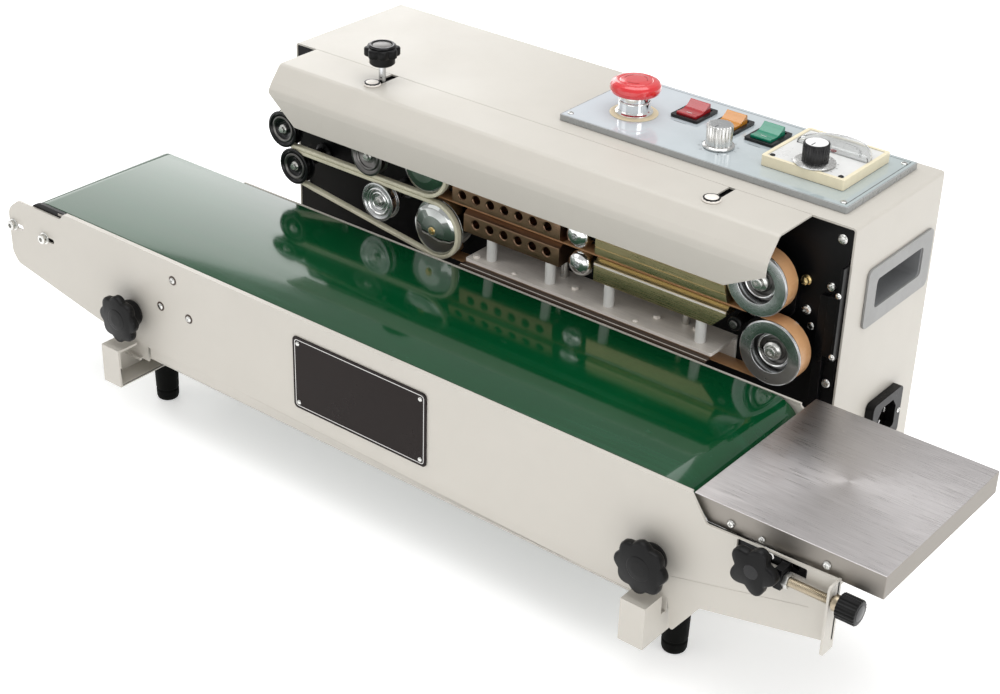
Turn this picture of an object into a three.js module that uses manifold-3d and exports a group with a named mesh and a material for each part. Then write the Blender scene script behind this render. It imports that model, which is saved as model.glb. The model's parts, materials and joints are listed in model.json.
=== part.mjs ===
// Continuous band sealer, bench model with a flat belt table. Millimetres, +Z up.
// X runs along the belt (bags travel towards +X), -Y is the operator's side, the front.
// Drawn with z = 0 at the top of the belt and y = 0 at its front edge line. ORIGIN, the middle
// of the footprint on the ground, is subtracted from every vertex of the finished pieces.
import * as THREE from 'three';
import { mergeVertices } from 'three/addons/utils/BufferGeometryUtils.js';
import Module from 'manifold-3d';

const wasm = await Module();
wasm.setup();

// ================================================================ driving dimensions
const GROUND_Z = -173;                 // underside of the feet
const ORIGIN = [3.4, 158.5, GROUND_Z];
const CLEARANCE = 0.3;                 // rest clearance between neighbouring pieces

// Housing: outside faces and sheet thickness; the front face is the chassis plane
const HOUSING = { left: -280, right: 297.5, front: 205, rear: 347, bottom: -150, top: 126.5 };
const SHEET = 1.8;
const LINING = SHEET + CLEARANCE;      // from an outside face to a piece inside the sheet
const MOUNT_Y = HOUSING.front - CLEARANCE;   // rear end of what stands against the chassis
const HANDLE_CUP_Y = [242, 326];
const HANDLE_CUP_Z = [40, 72];
const INLET_Y = [266, 308];            // power inlet body
const INLET_Z = [-94, -56];

// Control plate on top of the housing; centres are [x, y]
const PLATE_TOP = 132;
const SEAT_Z = PLATE_TOP + CLEARANCE;  // underside of what sits on the plate
const STOP_XY = [51.2, 266];
const SPEED_XY = [142.6, 254];
const TEMP_XY = [226.6, 260.4];
const TEMP_BODY_X = [191.2, 255.8];
const TEMP_BODY_Y = [249.7, 314.3];
const ROCKER_PITCH = 36;
const ROCKER_CENTRES = [0, 1, 2].map((i) => [91.2 + i * ROCKER_PITCH, 296.2]);
const ROCKER_TILT = 8;                 // rest tilt, degrees
const PRESSURE_XY = [-160, 188];       // pressure screw
const RIGHT_TAB_X = 188;               // right hood tab; the left one is at the pressure screw

// Bands, belts and wheels of the sealing line
const NIP_Z = 43.2;                    // sealing line above the belt
const HALF_GAP = 0.15;                 // half the rest gap between the two bands
const BAND = { thickness: 0.5, y: [177, 192] };
const GUIDE_BELT = { thickness: 3.6, y: [166.3, 172.3] };
const DRIVE_RADIUS = 26.2;
const GUIDE_RADIUS = 26.3;             // guide wheel under the sealing band
const GROOVE_RADIUS = 23.2;            // guide wheel under the guide belt
const INFEED_RADIUS = 12.15;           // infeed pulley groove
const IDLER_RADIUS = 15.75;            // idler groove
const PRESS_RADIUS = 11.4;
const SHAFT_RADIUS = 5;                // drive and guide wheels
const PIN_RADIUS = 4;                  // all other wheels
const SHAFT_PLAY = 0.6;                // extra radius of the holes round shafts and pins

// Distance from the sealing line to the near side of a wheel or block
const nipOffset = (thickness) => HALF_GAP + thickness + CLEARANCE;
// Axes [x, z] of a lower and an upper wheel
const axisPair = (lowerX, upperX, radius, thickness) => {
  const offset = nipOffset(thickness) + radius;
  return { lower: [lowerX, NIP_Z - offset], upper: [upperX, NIP_Z + offset] };
};
const DRIVE_AXES = axisPair(252, 234, DRIVE_RADIUS, BAND.thickness);
const GUIDE_AXES = axisPair(-82, -95, GUIDE_RADIUS, BAND.thickness);
const INFEED_AXES = axisPair(-247.3, -260.8, INFEED_RADIUS, GUIDE_BELT.thickness);
const IDLER_AXES = axisPair(-145.5, -158, IDLER_RADIUS, GUIDE_BELT.thickness);
const PRESS_AXES = axisPair(67.5, 64, PRESS_RADIUS, BAND.thickness);

// Belt table and its stand
const BELT = { y: [0.5, 149.5], outerRadius: 26, thickness: 1.4 };
const ROLLER_RADIUS = 24.3;
const ROLLER_Y = [2, 148];
const LEFT_ROLLER = [-395.5, -BELT.outerRadius];    // axes [x, z]
const RIGHT_ROLLER = [274, -BELT.outerRadius];
const TENSION_YZ = [-11, -31];         // tension screw axis
const LOCK_XZ = [366, -24.7];          // lock knob axis
const TABLE_TRAVEL = 20;               // height adjustment
const CLAMP_Z = -66;                   // star knob axes
const SIDES = [
  { side: 'left', armX: [-299.5, -277.5], webX: [-299.5, -297], tabX: [-299.5, -270],
    clampX: -281, rearFootX: -250 },
  { side: 'right', armX: [264.5, 286.5], webX: [284, 286.5], tabX: [264.5, 287],
    clampX: 275.5, rearFootX: 268 },
];

// ================================================================ finishes
const BLACK = 0x18181a;
const STEEL = 0xb9bbbd;
const CHROME = 0xd6d8da;
// Each entry is [colour, metalness, roughness]
const FINISH = {
  paint: [0xcfc8bd, 0.1, 0.45],
  chassis: [BLACK, 0.3, 0.4],
  controlPlate: [0x9fb0b6, 0.2, 0.4],
  stopBase: [0xc9c9cb, 0.9, 0.25],
  stopStem: [0x9a1c1c, 0, 0.5],
  stopButton: [0xc8202a, 0, 0.35],
  blackPlastic: [BLACK, 0, 0.5],
  powerRocker: [0xa01828, 0, 0.3],
  fanRocker: [0xe08a10, 0, 0.3],
  heatRocker: [0x0a8a66, 0, 0.3],
  speedKnob: [0xa9aaac, 0.8, 0.35],
  creamPlastic: [0xe6dfc4, 0, 0.5],
  smallKnob: [BLACK, 0, 0.4],
  clampKnob: [BLACK, 0, 0.45],
  handle: [0x6e6f6e, 0, 0.5],
  shelf: [0xb9b7b2, 0.7, 0.4],
  heaterBlock: [0x9a6b4a, 0.8, 0.4],
  coolingBlock: [0x8e8455, 0.7, 0.35],
  driveWheel: [STEEL, 0.9, 0.3],
  guideWheel: [CHROME, 1, 0.12],
  idler: [0xa8a49c, 0.9, 0.3],
  infeedPulley: [BLACK, 0.3, 0.35],
  pressWheel: [CHROME, 1, 0.15],
  sealBand: [0xb98a58, 0, 0.45],
  guideBelt: [0xd9d0b2, 0, 0.6],
  gear: [STEEL, 0.8, 0.4],
  motor: [0x4a4e52, 0.5, 0.5],
  rubber: [0x1c1c1c, 0, 0.8],
  conveyorBelt: [0x0c5a3a, 0, 0.25],
  roller: [STEEL, 0.8, 0.35],
  bracket: [STEEL, 0.6, 0.45],
  tensionScrew: [BLACK, 0.2, 0.4],
  stainless: [0xb4b0b1, 0.9, 0.35],
  nameplate: [0x1b1716, 0.2, 0.4],
};

// ================================================================ solids
// Closed manifold from a three.js geometry: seams welded, collapsed triangles left out
const solid = (geometry) => {
  geometry.deleteAttribute('normal');
  geometry.deleteAttribute('uv');
  const welded = mergeVertices(geometry, 1e-4);
  const index = welded.index.array;
  const triangles = [];
  for (let i = 0; i < index.length; i += 3) {
    const [a, b, c] = [index[i], index[i + 1], index[i + 2]];
    if (a !== b && b !== c && a !== c) triangles.push(a, b, c);
  }
  return new wasm.Manifold(new wasm.Mesh({
    numProp: 3,
    vertProperties: new Float32Array(welded.attributes.position.array),
    triVerts: new Uint32Array(triangles),
  }));
};
const add = (...solids) => solids.reduce((sum, next) => sum.add(next));
const cut = (body, ...tools) => tools.reduce((rest, tool) => rest.subtract(tool), body);
const grow = ([from, to], margin) => [from - margin, to + margin];

const box = (x0, x1, y0, y1, z0, z1) => {
  const geometry = new THREE.BoxGeometry(x1 - x0, y1 - y0, z1 - z0);
  geometry.translate((x0 + x1) / 2, (y0 + y1) / 2, (z0 + z1) / 2);
  return solid(geometry);
};
// Box round a vertical centre line
const boxAt = ([x, y], halfX, halfY, z0, z1) => (
  box(x - halfX, x + halfX, y - halfY, y + halfY, z0, z1));

const extrude = (outline, from, to, hole) => {
  const vectors = (points) => points.map(([u, v]) => new THREE.Vector2(u, v));
  const shape = new THREE.Shape(vectors(outline));
  if (hole) shape.holes.push(new THREE.Path(vectors(hole)));
  const geometry = new THREE.ExtrudeGeometry(shape, { depth: to - from, bevelEnabled: false });
  return geometry.translate(0, 0, from);
};
// (x, y, z) -> (z, x, y)
const Z_TO_X = new THREE.Matrix4().set(0, 0, 1, 0, 1, 0, 0, 0, 0, 1, 0, 0, 0, 0, 0, 1);
const prismX = (outlineYZ, x0, x1) => solid(extrude(outlineYZ, x0, x1).applyMatrix4(Z_TO_X));
const prismY = (outlineXZ, y0, y1, hole) => (
  solid(extrude(outlineXZ, -y1, -y0, hole).rotateX(Math.PI / 2)));
const prismZ = (outlineXY, z0, z1) => solid(extrude(outlineXY, z0, z1));

// Profile of [radius, station] pairs, from axis to axis, turned about a line along `axis`.
// `centre` holds the other two coordinates in x, y, z order.
const turned = (axis, [u, v], profile, segments) => {
  const points = profile.map(([radius, station]) => new THREE.Vector2(radius, station));
  const geometry = new THREE.LatheGeometry(points, segments);   // turned about +Y
  if (axis === 'x') geometry.rotateZ(-Math.PI / 2).translate(0, u, v);
  if (axis === 'y') geometry.translate(u, 0, v);
  if (axis === 'z') geometry.rotateX(Math.PI / 2).translate(u, v, 0);
  return solid(geometry);
};
const rod = (axis, centre, radius, from, to, segments) => (
  turned(axis, centre, [[0, from], [radius, from], [radius, to], [0, to]], segments));

const arcPoints = ([u, v], radius, from, to, steps, radiusV = radius) => {
  const points = [];
  for (let i = 0; i <= steps; i++) {
    const angle = from + (i / steps) * (to - from);
    points.push([u + radius * Math.cos(angle), v + radiusV * Math.sin(angle)]);
  }
  return points;
};
// Lobed outline of a hand knob
const lobes = ([u, v], outer, inner, count, stepsPerLobe) => {
  const points = [];
  const steps = count * stepsPerLobe;
  for (let i = 0; i < steps; i++) {
    const angle = (i / steps) * Math.PI * 2;
    const rise = Math.pow(0.5 + 0.5 * Math.cos(angle * count), 0.6);
    const radius = inner + (outer - inner) * rise;
    points.push([u + radius * Math.cos(angle), v + radius * Math.sin(angle)]);
  }
  return points;
};
// Closed outline round two circles in X-Z, the left one first, with outer tangents between
const beltPath = (left, leftRadius, right, rightRadius, steps) => {
  const dx = right[0] - left[0];
  const dz = right[1] - left[1];
  const slope = Math.atan2(dz, dx);
  const spread = Math.acos((leftRadius - rightRadius) / Math.hypot(dx, dz));
  const upper = slope + spread;
  const lower = slope - spread;
  return [
    ...arcPoints(right, rightRadius, lower, upper, steps),
    ...arcPoints(left, leftRadius, upper, lower + 2 * Math.PI, steps),
  ];
};
// Belt whose inner face has the given radii
const beltLoop = (left, leftRadius, right, rightRadius, { thickness, y }, steps) => prismY(
  beltPath(left, leftRadius + thickness, right, rightRadius + thickness, steps), ...y,
  beltPath(left, leftRadius, right, rightRadius, steps));

const part = new THREE.Group();
const put = (name, [color, metalness, roughness], piece) => {
  const { vertProperties, triVerts } = piece.getMesh();
  const positions = vertProperties.map((value, i) => value - ORIGIN[i % 3]);
  const geometry = new THREE.BufferGeometry();
  geometry.setAttribute('position', new THREE.BufferAttribute(positions, 3));
  geometry.setIndex(new THREE.BufferAttribute(triVerts, 1));
  geometry.computeVertexNormals();
  const material = new THREE.MeshStandardMaterial({ color, metalness, roughness });
  const mesh = new THREE.Mesh(geometry, material);
  mesh.name = name;
  part.add(mesh);
};

// ================================================================ housing
// Case open at the front and rear, with a top opening under the control plate
const housingShell = () => {
  const { left, right, front, rear, bottom, top } = HOUSING;
  const handleWindow = (wall) => (
    box(wall - 5, wall + 5, ...grow(HANDLE_CUP_Y, 1), ...grow(HANDLE_CUP_Z, 1)));
  return cut(
    box(left, right, front, rear - 2, bottom, top),
    box(left + SHEET, right - SHEET, front - 5, rear + 5, bottom + SHEET, top - SHEET),
    box(20, 265, 236, 322, 120, 130),
    handleWindow(right),
    handleWindow(left),
    box(right - 5, right + 5, ...grow(INLET_Y, 1), ...grow(INLET_Z, 1)));
};

// Rear sheet with two banks of six slots
const rearCover = () => {
  const { left, right, rear, bottom, top } = HOUSING;
  const slots = [];
  for (const x of [-235, 20]) {
    for (let i = 0; i < 6; i++) slots.push(box(x, x + 80, 340, 350, 4 + i * 13, 8 + i * 13));
  }
  const sheet = box(left + 0.5, right - 0.5, rear - 1.7, rear, bottom + 0.5, top - 0.5);
  return cut(sheet, ...slots);
};

// Black front plate that carries every shaft, with the two hood tabs and their screws
const chassisPlate = () => {
  const { left, right, bottom, top } = HOUSING;
  const front = HOUSING.front + CLEARANCE;
  const rear = front + 3;
  const holes = (pairs, radius, segments) => pairs
    .flatMap(({ lower, upper }) => [lower, upper])
    .map((axis) => rod('y', axis, radius + SHAFT_PLAY, front - 2, rear + 2, segments));
  const plate = cut(
    box(left + LINING, right - LINING, front, rear, bottom + LINING, top - LINING),
    ...holes([DRIVE_AXES, GUIDE_AXES], SHAFT_RADIUS, 12),
    ...holes([INFEED_AXES, IDLER_AXES, PRESS_AXES], PIN_RADIUS, 10));
  const tabs = [PRESSURE_XY[0], RIGHT_TAB_X].flatMap((x) => [
    box(x - 14, x + 14, 165, front + 1, 121.2, 123.4),
    rod('z', [x, 175], 2, 121.5, 127.5, 10),
    rod('z', [x, 175], 7, 126.9, 129.3, 12),
  ]);
  const rightStrip = box(293, 295.2, 197, front + 1, 15, 95);
  return cut(add(plate, rightStrip, ...tabs), rod('z', PRESSURE_XY, 3.5, 118, 125, 12));
};

// Recessed carrying handle: flange outside, cup inside the case wall; side is +1 at the right
const handle = (side) => {
  const wall = side > 0 ? HOUSING.right : HOUSING.left;
  const outward = (from, to) => (side > 0 ? [wall + from, wall + to] : [wall - to, wall - from]);
  return cut(
    add(
      box(...outward(CLEARANCE, 2.6), 232, 338, 29, 81),
      box(...outward(-27, CLEARANCE + 0.1), ...HANDLE_CUP_Y, ...HANDLE_CUP_Z)),
    box(...outward(-25, 6), 246, 320, 44, 68));
};

const powerInlet = () => cut(
  add(
    box(HOUSING.right + CLEARANCE, HOUSING.right + 8, ...grow(INLET_Y, 4), ...grow(INLET_Z, 4)),
    box(262, HOUSING.right + 1, ...INLET_Y, ...INLET_Z)),
  box(285, 310, 274, 300, -84, -66));

// Hood section [y, z]: outside from the rear edge forward and down, then back up the inside
const HOOD_SECTION = [
  [204.6, 126.5], [160, 126.5], [157, 125.4], [146.5, 112.5], [143, 107], [142, 101], [142, 79],
  [143.6, 79], [143.6, 100.8], [144.5, 106.3], [147.7, 111.5], [157.9, 124.2], [160.4, 124.9],
  [204.6, 124.9],
];
// Lift-off hood: one folded sheet with cut-back lower corners and two slots open to the rear
const hood = () => {
  const slot = (x, halfWidth) => box(x - halfWidth, x + halfWidth, 172.5, 210, 120, 130);
  return cut(
    prismX(HOOD_SECTION, -254, 259.3),
    prismY([[222.5, 78], [262, 98.5], [262, 70], [222.5, 70]], 135, 150),
    prismY([[-222, 78], [-222, 70], [-258, 70], [-258, 106.5]], 135, 150),
    slot(PRESSURE_XY[0], 4),
    slot(RIGHT_TAB_X, 3));
};

// ================================================================ controls
const controlPlate = () => cut(
  box(6.4, 278.6, 222, 335, HOUSING.top + CLEARANCE, PLATE_TOP),
  rod('z', STOP_XY, 11.6, 120, 140, 20),
  rod('z', SPEED_XY, 4, 120, 140, 12),
  box(...grow(TEMP_BODY_X, 0.7), ...grow(TEMP_BODY_Y, 0.7), 120, 140),
  ...ROCKER_CENTRES.map((centre) => boxAt(centre, 11.3, 14.3, 120, 140)));

// Collar, barrel, neck and square block of the stop switch, bored for the stem
const stopBase = () => cut(
  add(
    rod('z', STOP_XY, 16, SEAT_Z, 134.3, 24),
    rod('z', STOP_XY, 13.6, 134.2, 144, 24),
    rod('z', STOP_XY, 11.2, 108, 132.4, 20),
    boxAt(STOP_XY, 15, 15, 86, 110)),
  rod('z', STOP_XY, 7.8, 104, 150, 16));

// Mushroom head [radius, z]
const STOP_BUTTON_PROFILE = [
  [0, 148.6], [9, 148.6], [17.4, 149.8], [20.9, 151.8], [21.6, 154.4],
  [20.9, 157.8], [18, 160.6], [10, 161.9], [0, 162.2],
];

// Three switch bodies with bezels on one mounting strip
const switchBank = () => {
  const rockerY = ROCKER_CENTRES[0][1];
  const bodies = ROCKER_CENTRES.flatMap((centre) => [
    boxAt(centre, 10.9, 13.9, 109, 132.6),
    boxAt(centre, 13.5, 16.5, SEAT_Z, 134.5),
  ]);
  const cavities = ROCKER_CENTRES.map((centre) => boxAt(centre, 10, 13, 119, 140));
  return cut(add(box(78, 177, rockerY - 9, rockerY + 9, 106, 110), ...bodies), ...cavities);
};

// Rocker section [y, z] about its pivot, level
const ROCKER_SECTION = [
  [-9.5, -3], [9.5, -3], [11, 5], [11.2, 13], [4, 11], [-4, 11], [-11.2, 13], [-11, 5],
];
const ROCKER_PIVOT_Z = 126;
const rocker = ([centreX, centreY]) => {
  const tilt = THREE.MathUtils.degToRad(ROCKER_TILT);
  const section = ROCKER_SECTION.map(([y, z]) => [
    centreY + y * Math.cos(tilt) - z * Math.sin(tilt),
    ROCKER_PIVOT_Z + y * Math.sin(tilt) + z * Math.cos(tilt),
  ]);
  return prismX(section, centreX - 9.6, centreX + 9.6);
};

const speedKnob = () => add(
  turned('z', SPEED_XY, [
    [0, 132.4], [13, 132.4], [13, 134.2], [10.8, 134.2], [10.8, 151.6], [0, 151.6],
  ], 24),
  rod('z', SPEED_XY, 3, 108, 133, 12));

// Bezel, body below the plate and a raised half-ellipse on top
const tempController = () => cut(
  add(
    box(187, 261.2, 245.6, 319.6, SEAT_Z, 141),
    box(...TEMP_BODY_X, ...TEMP_BODY_Y, 82, 132.4),
    prismZ(arcPoints([226.5, 287.5], 32.6, 0, Math.PI, 12, 29.5), 140.5, 146)),
  rod('z', TEMP_XY, 3.8, 120, 150, 12));

const tempKnob = () => add(
  turned('z', TEMP_XY, [
    [0, 141.4], [16.8, 141.4], [16.8, 142.8], [10.6, 142.8], [10.4, 158.4], [0, 158.4],
  ], 24),
  rod('z', TEMP_XY, 3.2, 122, 141.6, 12));

// Screw through the hood slot and the left tab, with its hand knob
const pressureKnob = () => add(
  rod('z', PRESSURE_XY, 3, 82, 143, 12),
  rod('z', PRESSURE_XY, 11, 141.6, 150.6, 20),
  prismZ(lobes(PRESSURE_XY, 15.6, 13.4, 8, 4), 150.2, 157.6),
  rod('z', PRESSURE_XY, 11.4, 157.2, 160.2, 20));

// ================================================================ sealing line
// Light alloy shelf with the standoffs of the lower blocks in two rows
const blockShelf = () => add(
  box(-45, 206, 165, MOUNT_Y, -0.6, 2.4),
  box(-45, 206, 202, MOUNT_Y, -22, 2),
  ...[-25, 37.7, 98.3, 188].map((x) => rod('z', [x, 176.5], 4.2, 2, 22.2, 10)),
  ...[40, 163].map((x) => rod('z', [x, 194], 4.2, 2, 20.5, 10)));

const LUG_WIDTH = 20;
// Bar along the band, chamfered at the front of its band face, with lugs towards the chassis.
// outerZ is the face away from the band; lugXs are the left ends of the lugs.
const sealingBlock = (level, x, outerZ, lugXs, cuts) => {
  const side = level === 'upper' ? 1 : -1;
  const face = NIP_Z + side * nipOffset(BAND.thickness);
  const section = [
    [172, outerZ], [197, outerZ], [197, face], [176.5, face], [172, face + side * 3.2],
  ];
  const lugZ = level === 'upper' ? [48, 60] : [26, 38];
  const lugs = lugXs.map((lugX) => box(lugX, lugX + LUG_WIDTH, 196, MOUNT_Y, ...lugZ));
  // Lugs go on after the cuts, so the cuts don't enter them
  return add(cut(prismX(section, ...x), ...cuts), ...lugs);
};
const drillRow = (firstX, count, z) => Array.from({ length: count },
  (_, i) => rod('y', [firstX + 15.2 * i, z], 3.75, 165, 200, 8));
const cornerCut = (outline) => [prismY(outline, 165, 200)];
// [name, level, finish, x range, outer z, lug x, cuts]
const BLOCKS = [
  ['heater_block', 'lower', FINISH.heaterBlock, [-53, 49], 22.5, [-30, 20],
    drillRow(-40.3, 6, 32.2)],
  ['heater_block', 'upper', FINISH.heaterBlock, [-66, 49], 64, [-30, 20],
    drillRow(-55.5, 7, 55.2)],
  ['cooling_block', 'lower', FINISH.coolingBlock, [84.6, 212], 22.5, [105, 170],
    cornerCut([[198, 21], [213, 36], [213, 21]])],
  ['cooling_block', 'upper', FINISH.coolingBlock, [84.6, 212], 66, [105, 165],
    cornerCut([[213, 44.5], [213, 67], [205.5, 67]])],
];

// Wheel profiles [radius, y], front to rear, each ending in its shaft or pin
const DRIVE_PROFILE = [
  [0, 177.5], [8, 177.5], [8, 183.5], [16.4, 183.5], [16.4, 174.5], [26.6, 174.5],
  [27.4, 175.2], [27.4, 176.6], [DRIVE_RADIUS, 176.6], [DRIVE_RADIUS, 194], [9, 194], [9, 200],
  [SHAFT_RADIUS, 200], [SHAFT_RADIUS, 222.5], [0, 222.5],
];
const GUIDE_PROFILE = [
  [0, 162.5], [4, 162.5], [4, 164.8], [9, 165.6], [16, 164], [22, 164.6],
  [GROOVE_RADIUS, 165.8], [GROOVE_RADIUS, 174], [GUIDE_RADIUS, 174], [GUIDE_RADIUS, 194],
  [9, 194], [9, 200], [SHAFT_RADIUS, 200], [SHAFT_RADIUS, 214], [0, 214],
];
const PRESS_PROFILE = [
  [0, 172], [4, 172], [4, 173.2], [9.5, 172.6], [PRESS_RADIUS, 173.8], [PRESS_RADIUS, 192.5],
  [6, 192.5], [6, 200], [PIN_RADIUS, 200], [PIN_RADIUS, 214], [0, 214],
];
const groovedProfile = (groove, flange, hub) => [
  [0, 163], [hub, 163], [hub, 164.6], [flange - 4, 164.6], [flange - 3, 163.8],
  [flange, 164.2], [flange, 165.9], [groove, 165.9], [groove, 172.7], [flange, 172.7],
  [flange, 174.6], [PIN_RADIUS + 2, 174.6], [PIN_RADIUS + 2, 200], [PIN_RADIUS, 200],
  [PIN_RADIUS, 214], [0, 214],
];
// [name, finish, axes, profile, segments]
const WHEELS = [
  ['drive_wheel', FINISH.driveWheel, DRIVE_AXES, DRIVE_PROFILE, 24],
  ['guide_wheel', FINISH.guideWheel, GUIDE_AXES, GUIDE_PROFILE, 24],
  ['idler', FINISH.idler, IDLER_AXES, groovedProfile(IDLER_RADIUS, 17.8, 4.5), 18],
  ['infeed_pulley', FINISH.infeedPulley, INFEED_AXES, groovedProfile(INFEED_RADIUS, 17, 4), 18],
  ['press_wheel', FINISH.pressWheel, PRESS_AXES, PRESS_PROFILE, 16],
];

const sealBand = (level) => beltLoop(
  GUIDE_AXES[level], GUIDE_RADIUS + CLEARANCE,
  DRIVE_AXES[level], DRIVE_RADIUS + CLEARANCE, BAND, 16);
const guideBelt = (level) => beltLoop(
  INFEED_AXES[level], INFEED_RADIUS + CLEARANCE,
  GUIDE_AXES[level], GROOVE_RADIUS + CLEARANCE, GUIDE_BELT, 12);

// One of two equal spur gears that turn the drive shafts against each other
const GEAR_TEETH = 20;
const driveGear = (level) => {
  const { lower, upper } = DRIVE_AXES;
  const dx = upper[0] - lower[0];
  const dz = upper[1] - lower[1];
  const pitchRadius = Math.hypot(dx, dz) / 2;
  const toothAngle = (Math.PI * 2) / GEAR_TEETH;
  const root = pitchRadius - 2.9;
  const tip = pitchRadius + 1.7;
  // Lower gear points a tooth at its mate, upper gear a gap
  const meshTurn = level === 'upper' ? Math.PI + toothAngle / 2 : 0;
  const phase = Math.atan2(dz, dx) + meshTurn;
  const [centreX, centreZ] = DRIVE_AXES[level];
  const outline = [];
  for (let i = 0; i < GEAR_TEETH; i++) {
    for (const [offset, radius] of [[-0.26, root], [-0.12, tip], [0.12, tip], [0.26, root]]) {
      const angle = phase + (i + offset) * toothAngle;
      outline.push([centreX + radius * Math.cos(angle), centreZ + radius * Math.sin(angle)]);
    }
  }
  const bore = rod('y', DRIVE_AXES[level], SHAFT_RADIUS + SHAFT_PLAY, 205, 225, 12);
  return cut(prismY(outline, 211, 219), bore);
};

// ================================================================ inside the housing
const driveMotor = () => {
  const axis = [258, 15];
  const openFrame = cut(
    box(95, 190, 232, 284, HOUSING.bottom + LINING, -12),
    box(90, 195, 235.5, 280.5, -144, -20),
    box(98.5, 186.5, 225, 290, -144, -20));
  return add(
    box(205, 262, 226, 290, -16, 50),
    rod('x', axis, 31, 70, 206, 24),
    rod('x', axis, 27, 58, 71, 24),
    openFrame);
};

const FAN_XZ = [50, 38];
// Square frame with a round opening, and a bar at the rear that carries the hub disc
const fanHousing = () => add(
  cut(box(8, 92, 316, 341, -4, 80), rod('y', FAN_XZ, 38, 310, 350, 28)),
  box(8, 92, 337, 341, 34, 42),
  rod('y', FAN_XZ, 12, 334.5, 341, 16));

const fanRotor = () => {
  const BLADES = 5;
  const blades = Array.from({ length: BLADES }, (_, i) => {
    const blade = new THREE.BoxGeometry(26, 1.6, 17);
    blade.rotateX(0.6);                // blade pitch
    blade.translate(23.5, 0, 0);
    blade.rotateY(-(i / BLADES) * Math.PI * 2);
    blade.translate(FAN_XZ[0], 326, FAN_XZ[1]);
    return solid(blade);
  });
  return add(rod('y', FAN_XZ, 13, 318, 334, 16), ...blades);
};

// ================================================================ stand
// Channel arm with a raised front end, a mounting plate and an upright slotted tab
const arm = ({ armX, webX, tabX, clampX }) => cut(
  add(
    box(...webX, -30, MOUNT_Y, -132, -112),
    box(...armX, -30, MOUNT_Y, -132, -129.5),
    box(...armX, -6, MOUNT_Y, -114.3, -112),
    box(...armX, -30, -27.5, -132, -95),
    box(...webX, -30, -8, -132, -95),
    box(...armX, -30, -8, -97.4, -95),
    box(...grow(armX, 9), 202, MOUNT_Y, -140, -106),
    box(...tabX, -2.3, -0.3, -114, -38.6)),
  box(clampX - 3.6, clampX + 3.6, -2.6, 0, CLAMP_Z - 4, CLAMP_Z + TABLE_TRAVEL + 3.4));

const frontFoot = ({ armX }) => turned('z', [(armX[0] + armX[1]) / 2, 33], [
  [0, GROUND_Z], [9, GROUND_Z], [9.8, GROUND_Z + 1.2], [11, -138], [10.4, -132.3], [0, -132.3],
], 20);
const rearFoot = ({ rearFootX }) => {
  const top = HOUSING.bottom - CLEARANCE;
  return turned('z', [rearFootX, 322], [
    [0, GROUND_Z], [11, GROUND_Z], [12, GROUND_Z + 1.2], [13, top], [0, top],
  ], 20);
};

// ================================================================ belt table
// Outlines [x, z] of the front and rear panels, from the top left corner down and round
const FRONT_PANEL = [
  [-368, 0.2], [-374, -6.2], [-432, -6.2], [-438.5, -8.6], [-444.5, -14.5], [-447.2, -22.6],
  [-447.2, -59], [-444.8, -66], [-440.3, -70.2], [-432.1, -73.2], [-336.7, -91.2],
  [-310.2, -95.6], [-286, -97], [289.5, -97], [293, -126.8], [316.3, -93.5], [421, -70],
  [421, -17], [315.5, -20.2], [301.5, 0.2],
];
const REAR_PANEL = [
  [-368, 0.2], [-374, -8], [-400, -14], [-416, -30], [-416, -60], [-400, -74], [-336, -91],
  [-300, -97], [300, -97], [421, -70], [421, -6], [300, -6], [296, 0.2],
];
const tableFrame = () => cut(
  add(
    cut(
      add(
        prismY(FRONT_PANEL, -5, -3),
        box(-266, 258, -3.4, -1.4, -109, -95.5)),         // lower rail, set back
      box(-262, 256, -6, -3.9, -97.6, -96.2)),            // groove above the rail
    box(-368, 300, -5, 0, -1.6, 0.2),                     // front lip
    prismY(REAR_PANEL, 152, 154),
    box(-368, 296, 150.3, 153, -1.4, 0.2),                // rear lip
    box(-378, 252, -4, 153, -4.2, -1.9),                  // slide bed under the carrying run
    box(-330, -320, -4, 153, -72, -62),                   // tie bars
    box(403, 409, -4, 153, -44, -30),
    box(419, 421, -16, -0.6, -76, -18)),                  // end tab of the tension screw
  rod('x', TENSION_YZ, 3.9, 410, 425, 12),
  ...SIDES.map(({ clampX }) => rod('y', [clampX, CLAMP_Z], 3.6, -8, -1, 12)),
  box(341, 397, -8, -1, -29, -20),                        // tension slot
  box(-438, -428, -8, -1, -35, -30.5),                    // two slots near the left roller
  box(-395, -385, -8, -1, -35, -30.5));

const conveyorBelt = () => {
  const innerRadius = BELT.outerRadius - BELT.thickness;
  return beltLoop(LEFT_ROLLER, innerRadius, RIGHT_ROLLER, innerRadius, BELT, 16);
};

const [ROLLER_FRONT, ROLLER_REAR] = ROLLER_Y;
const driveRoller = () => turned('y', LEFT_ROLLER, [
  [0, -2.6], [6, -2.6], [6, ROLLER_FRONT], [ROLLER_RADIUS, ROLLER_FRONT],
  [ROLLER_RADIUS, ROLLER_REAR], [6, ROLLER_REAR], [6, 151.6], [0, 151.6],
], 20);

// Bracket with the tension roller's fixed axle, and the screw's lug outside the front panel
const tensionBracket = () => cut(
  add(
    box(266, 395, -2.4, -0.4, -38, -31.5),
    box(300, 395, -2.4, -0.4, -36, -20.5),
    box(266, 395, 150, 151.8, -38, -24.5),
    box(330, 340, -2.4, 151.8, -40, -31.5),               // cross bar
    box(378, 384, -6.2, -0.4, -28.6, -20.9),              // neck through the tension slot
    box(378, 384, -16, -5.8, -38, -21.5),                 // lug
    rod('y', RIGHT_ROLLER, 5, -2.4, 151.8, 16),           // axle
    box(268, 280, -2.4, -0.4, -33, -19),
    box(268, 280, 150, 151.8, -33, -19)),
  rod('x', TENSION_YZ, 4, 370, 390, 12),
  rod('y', LOCK_XZ, 3.3, -4, 1, 12));

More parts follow.
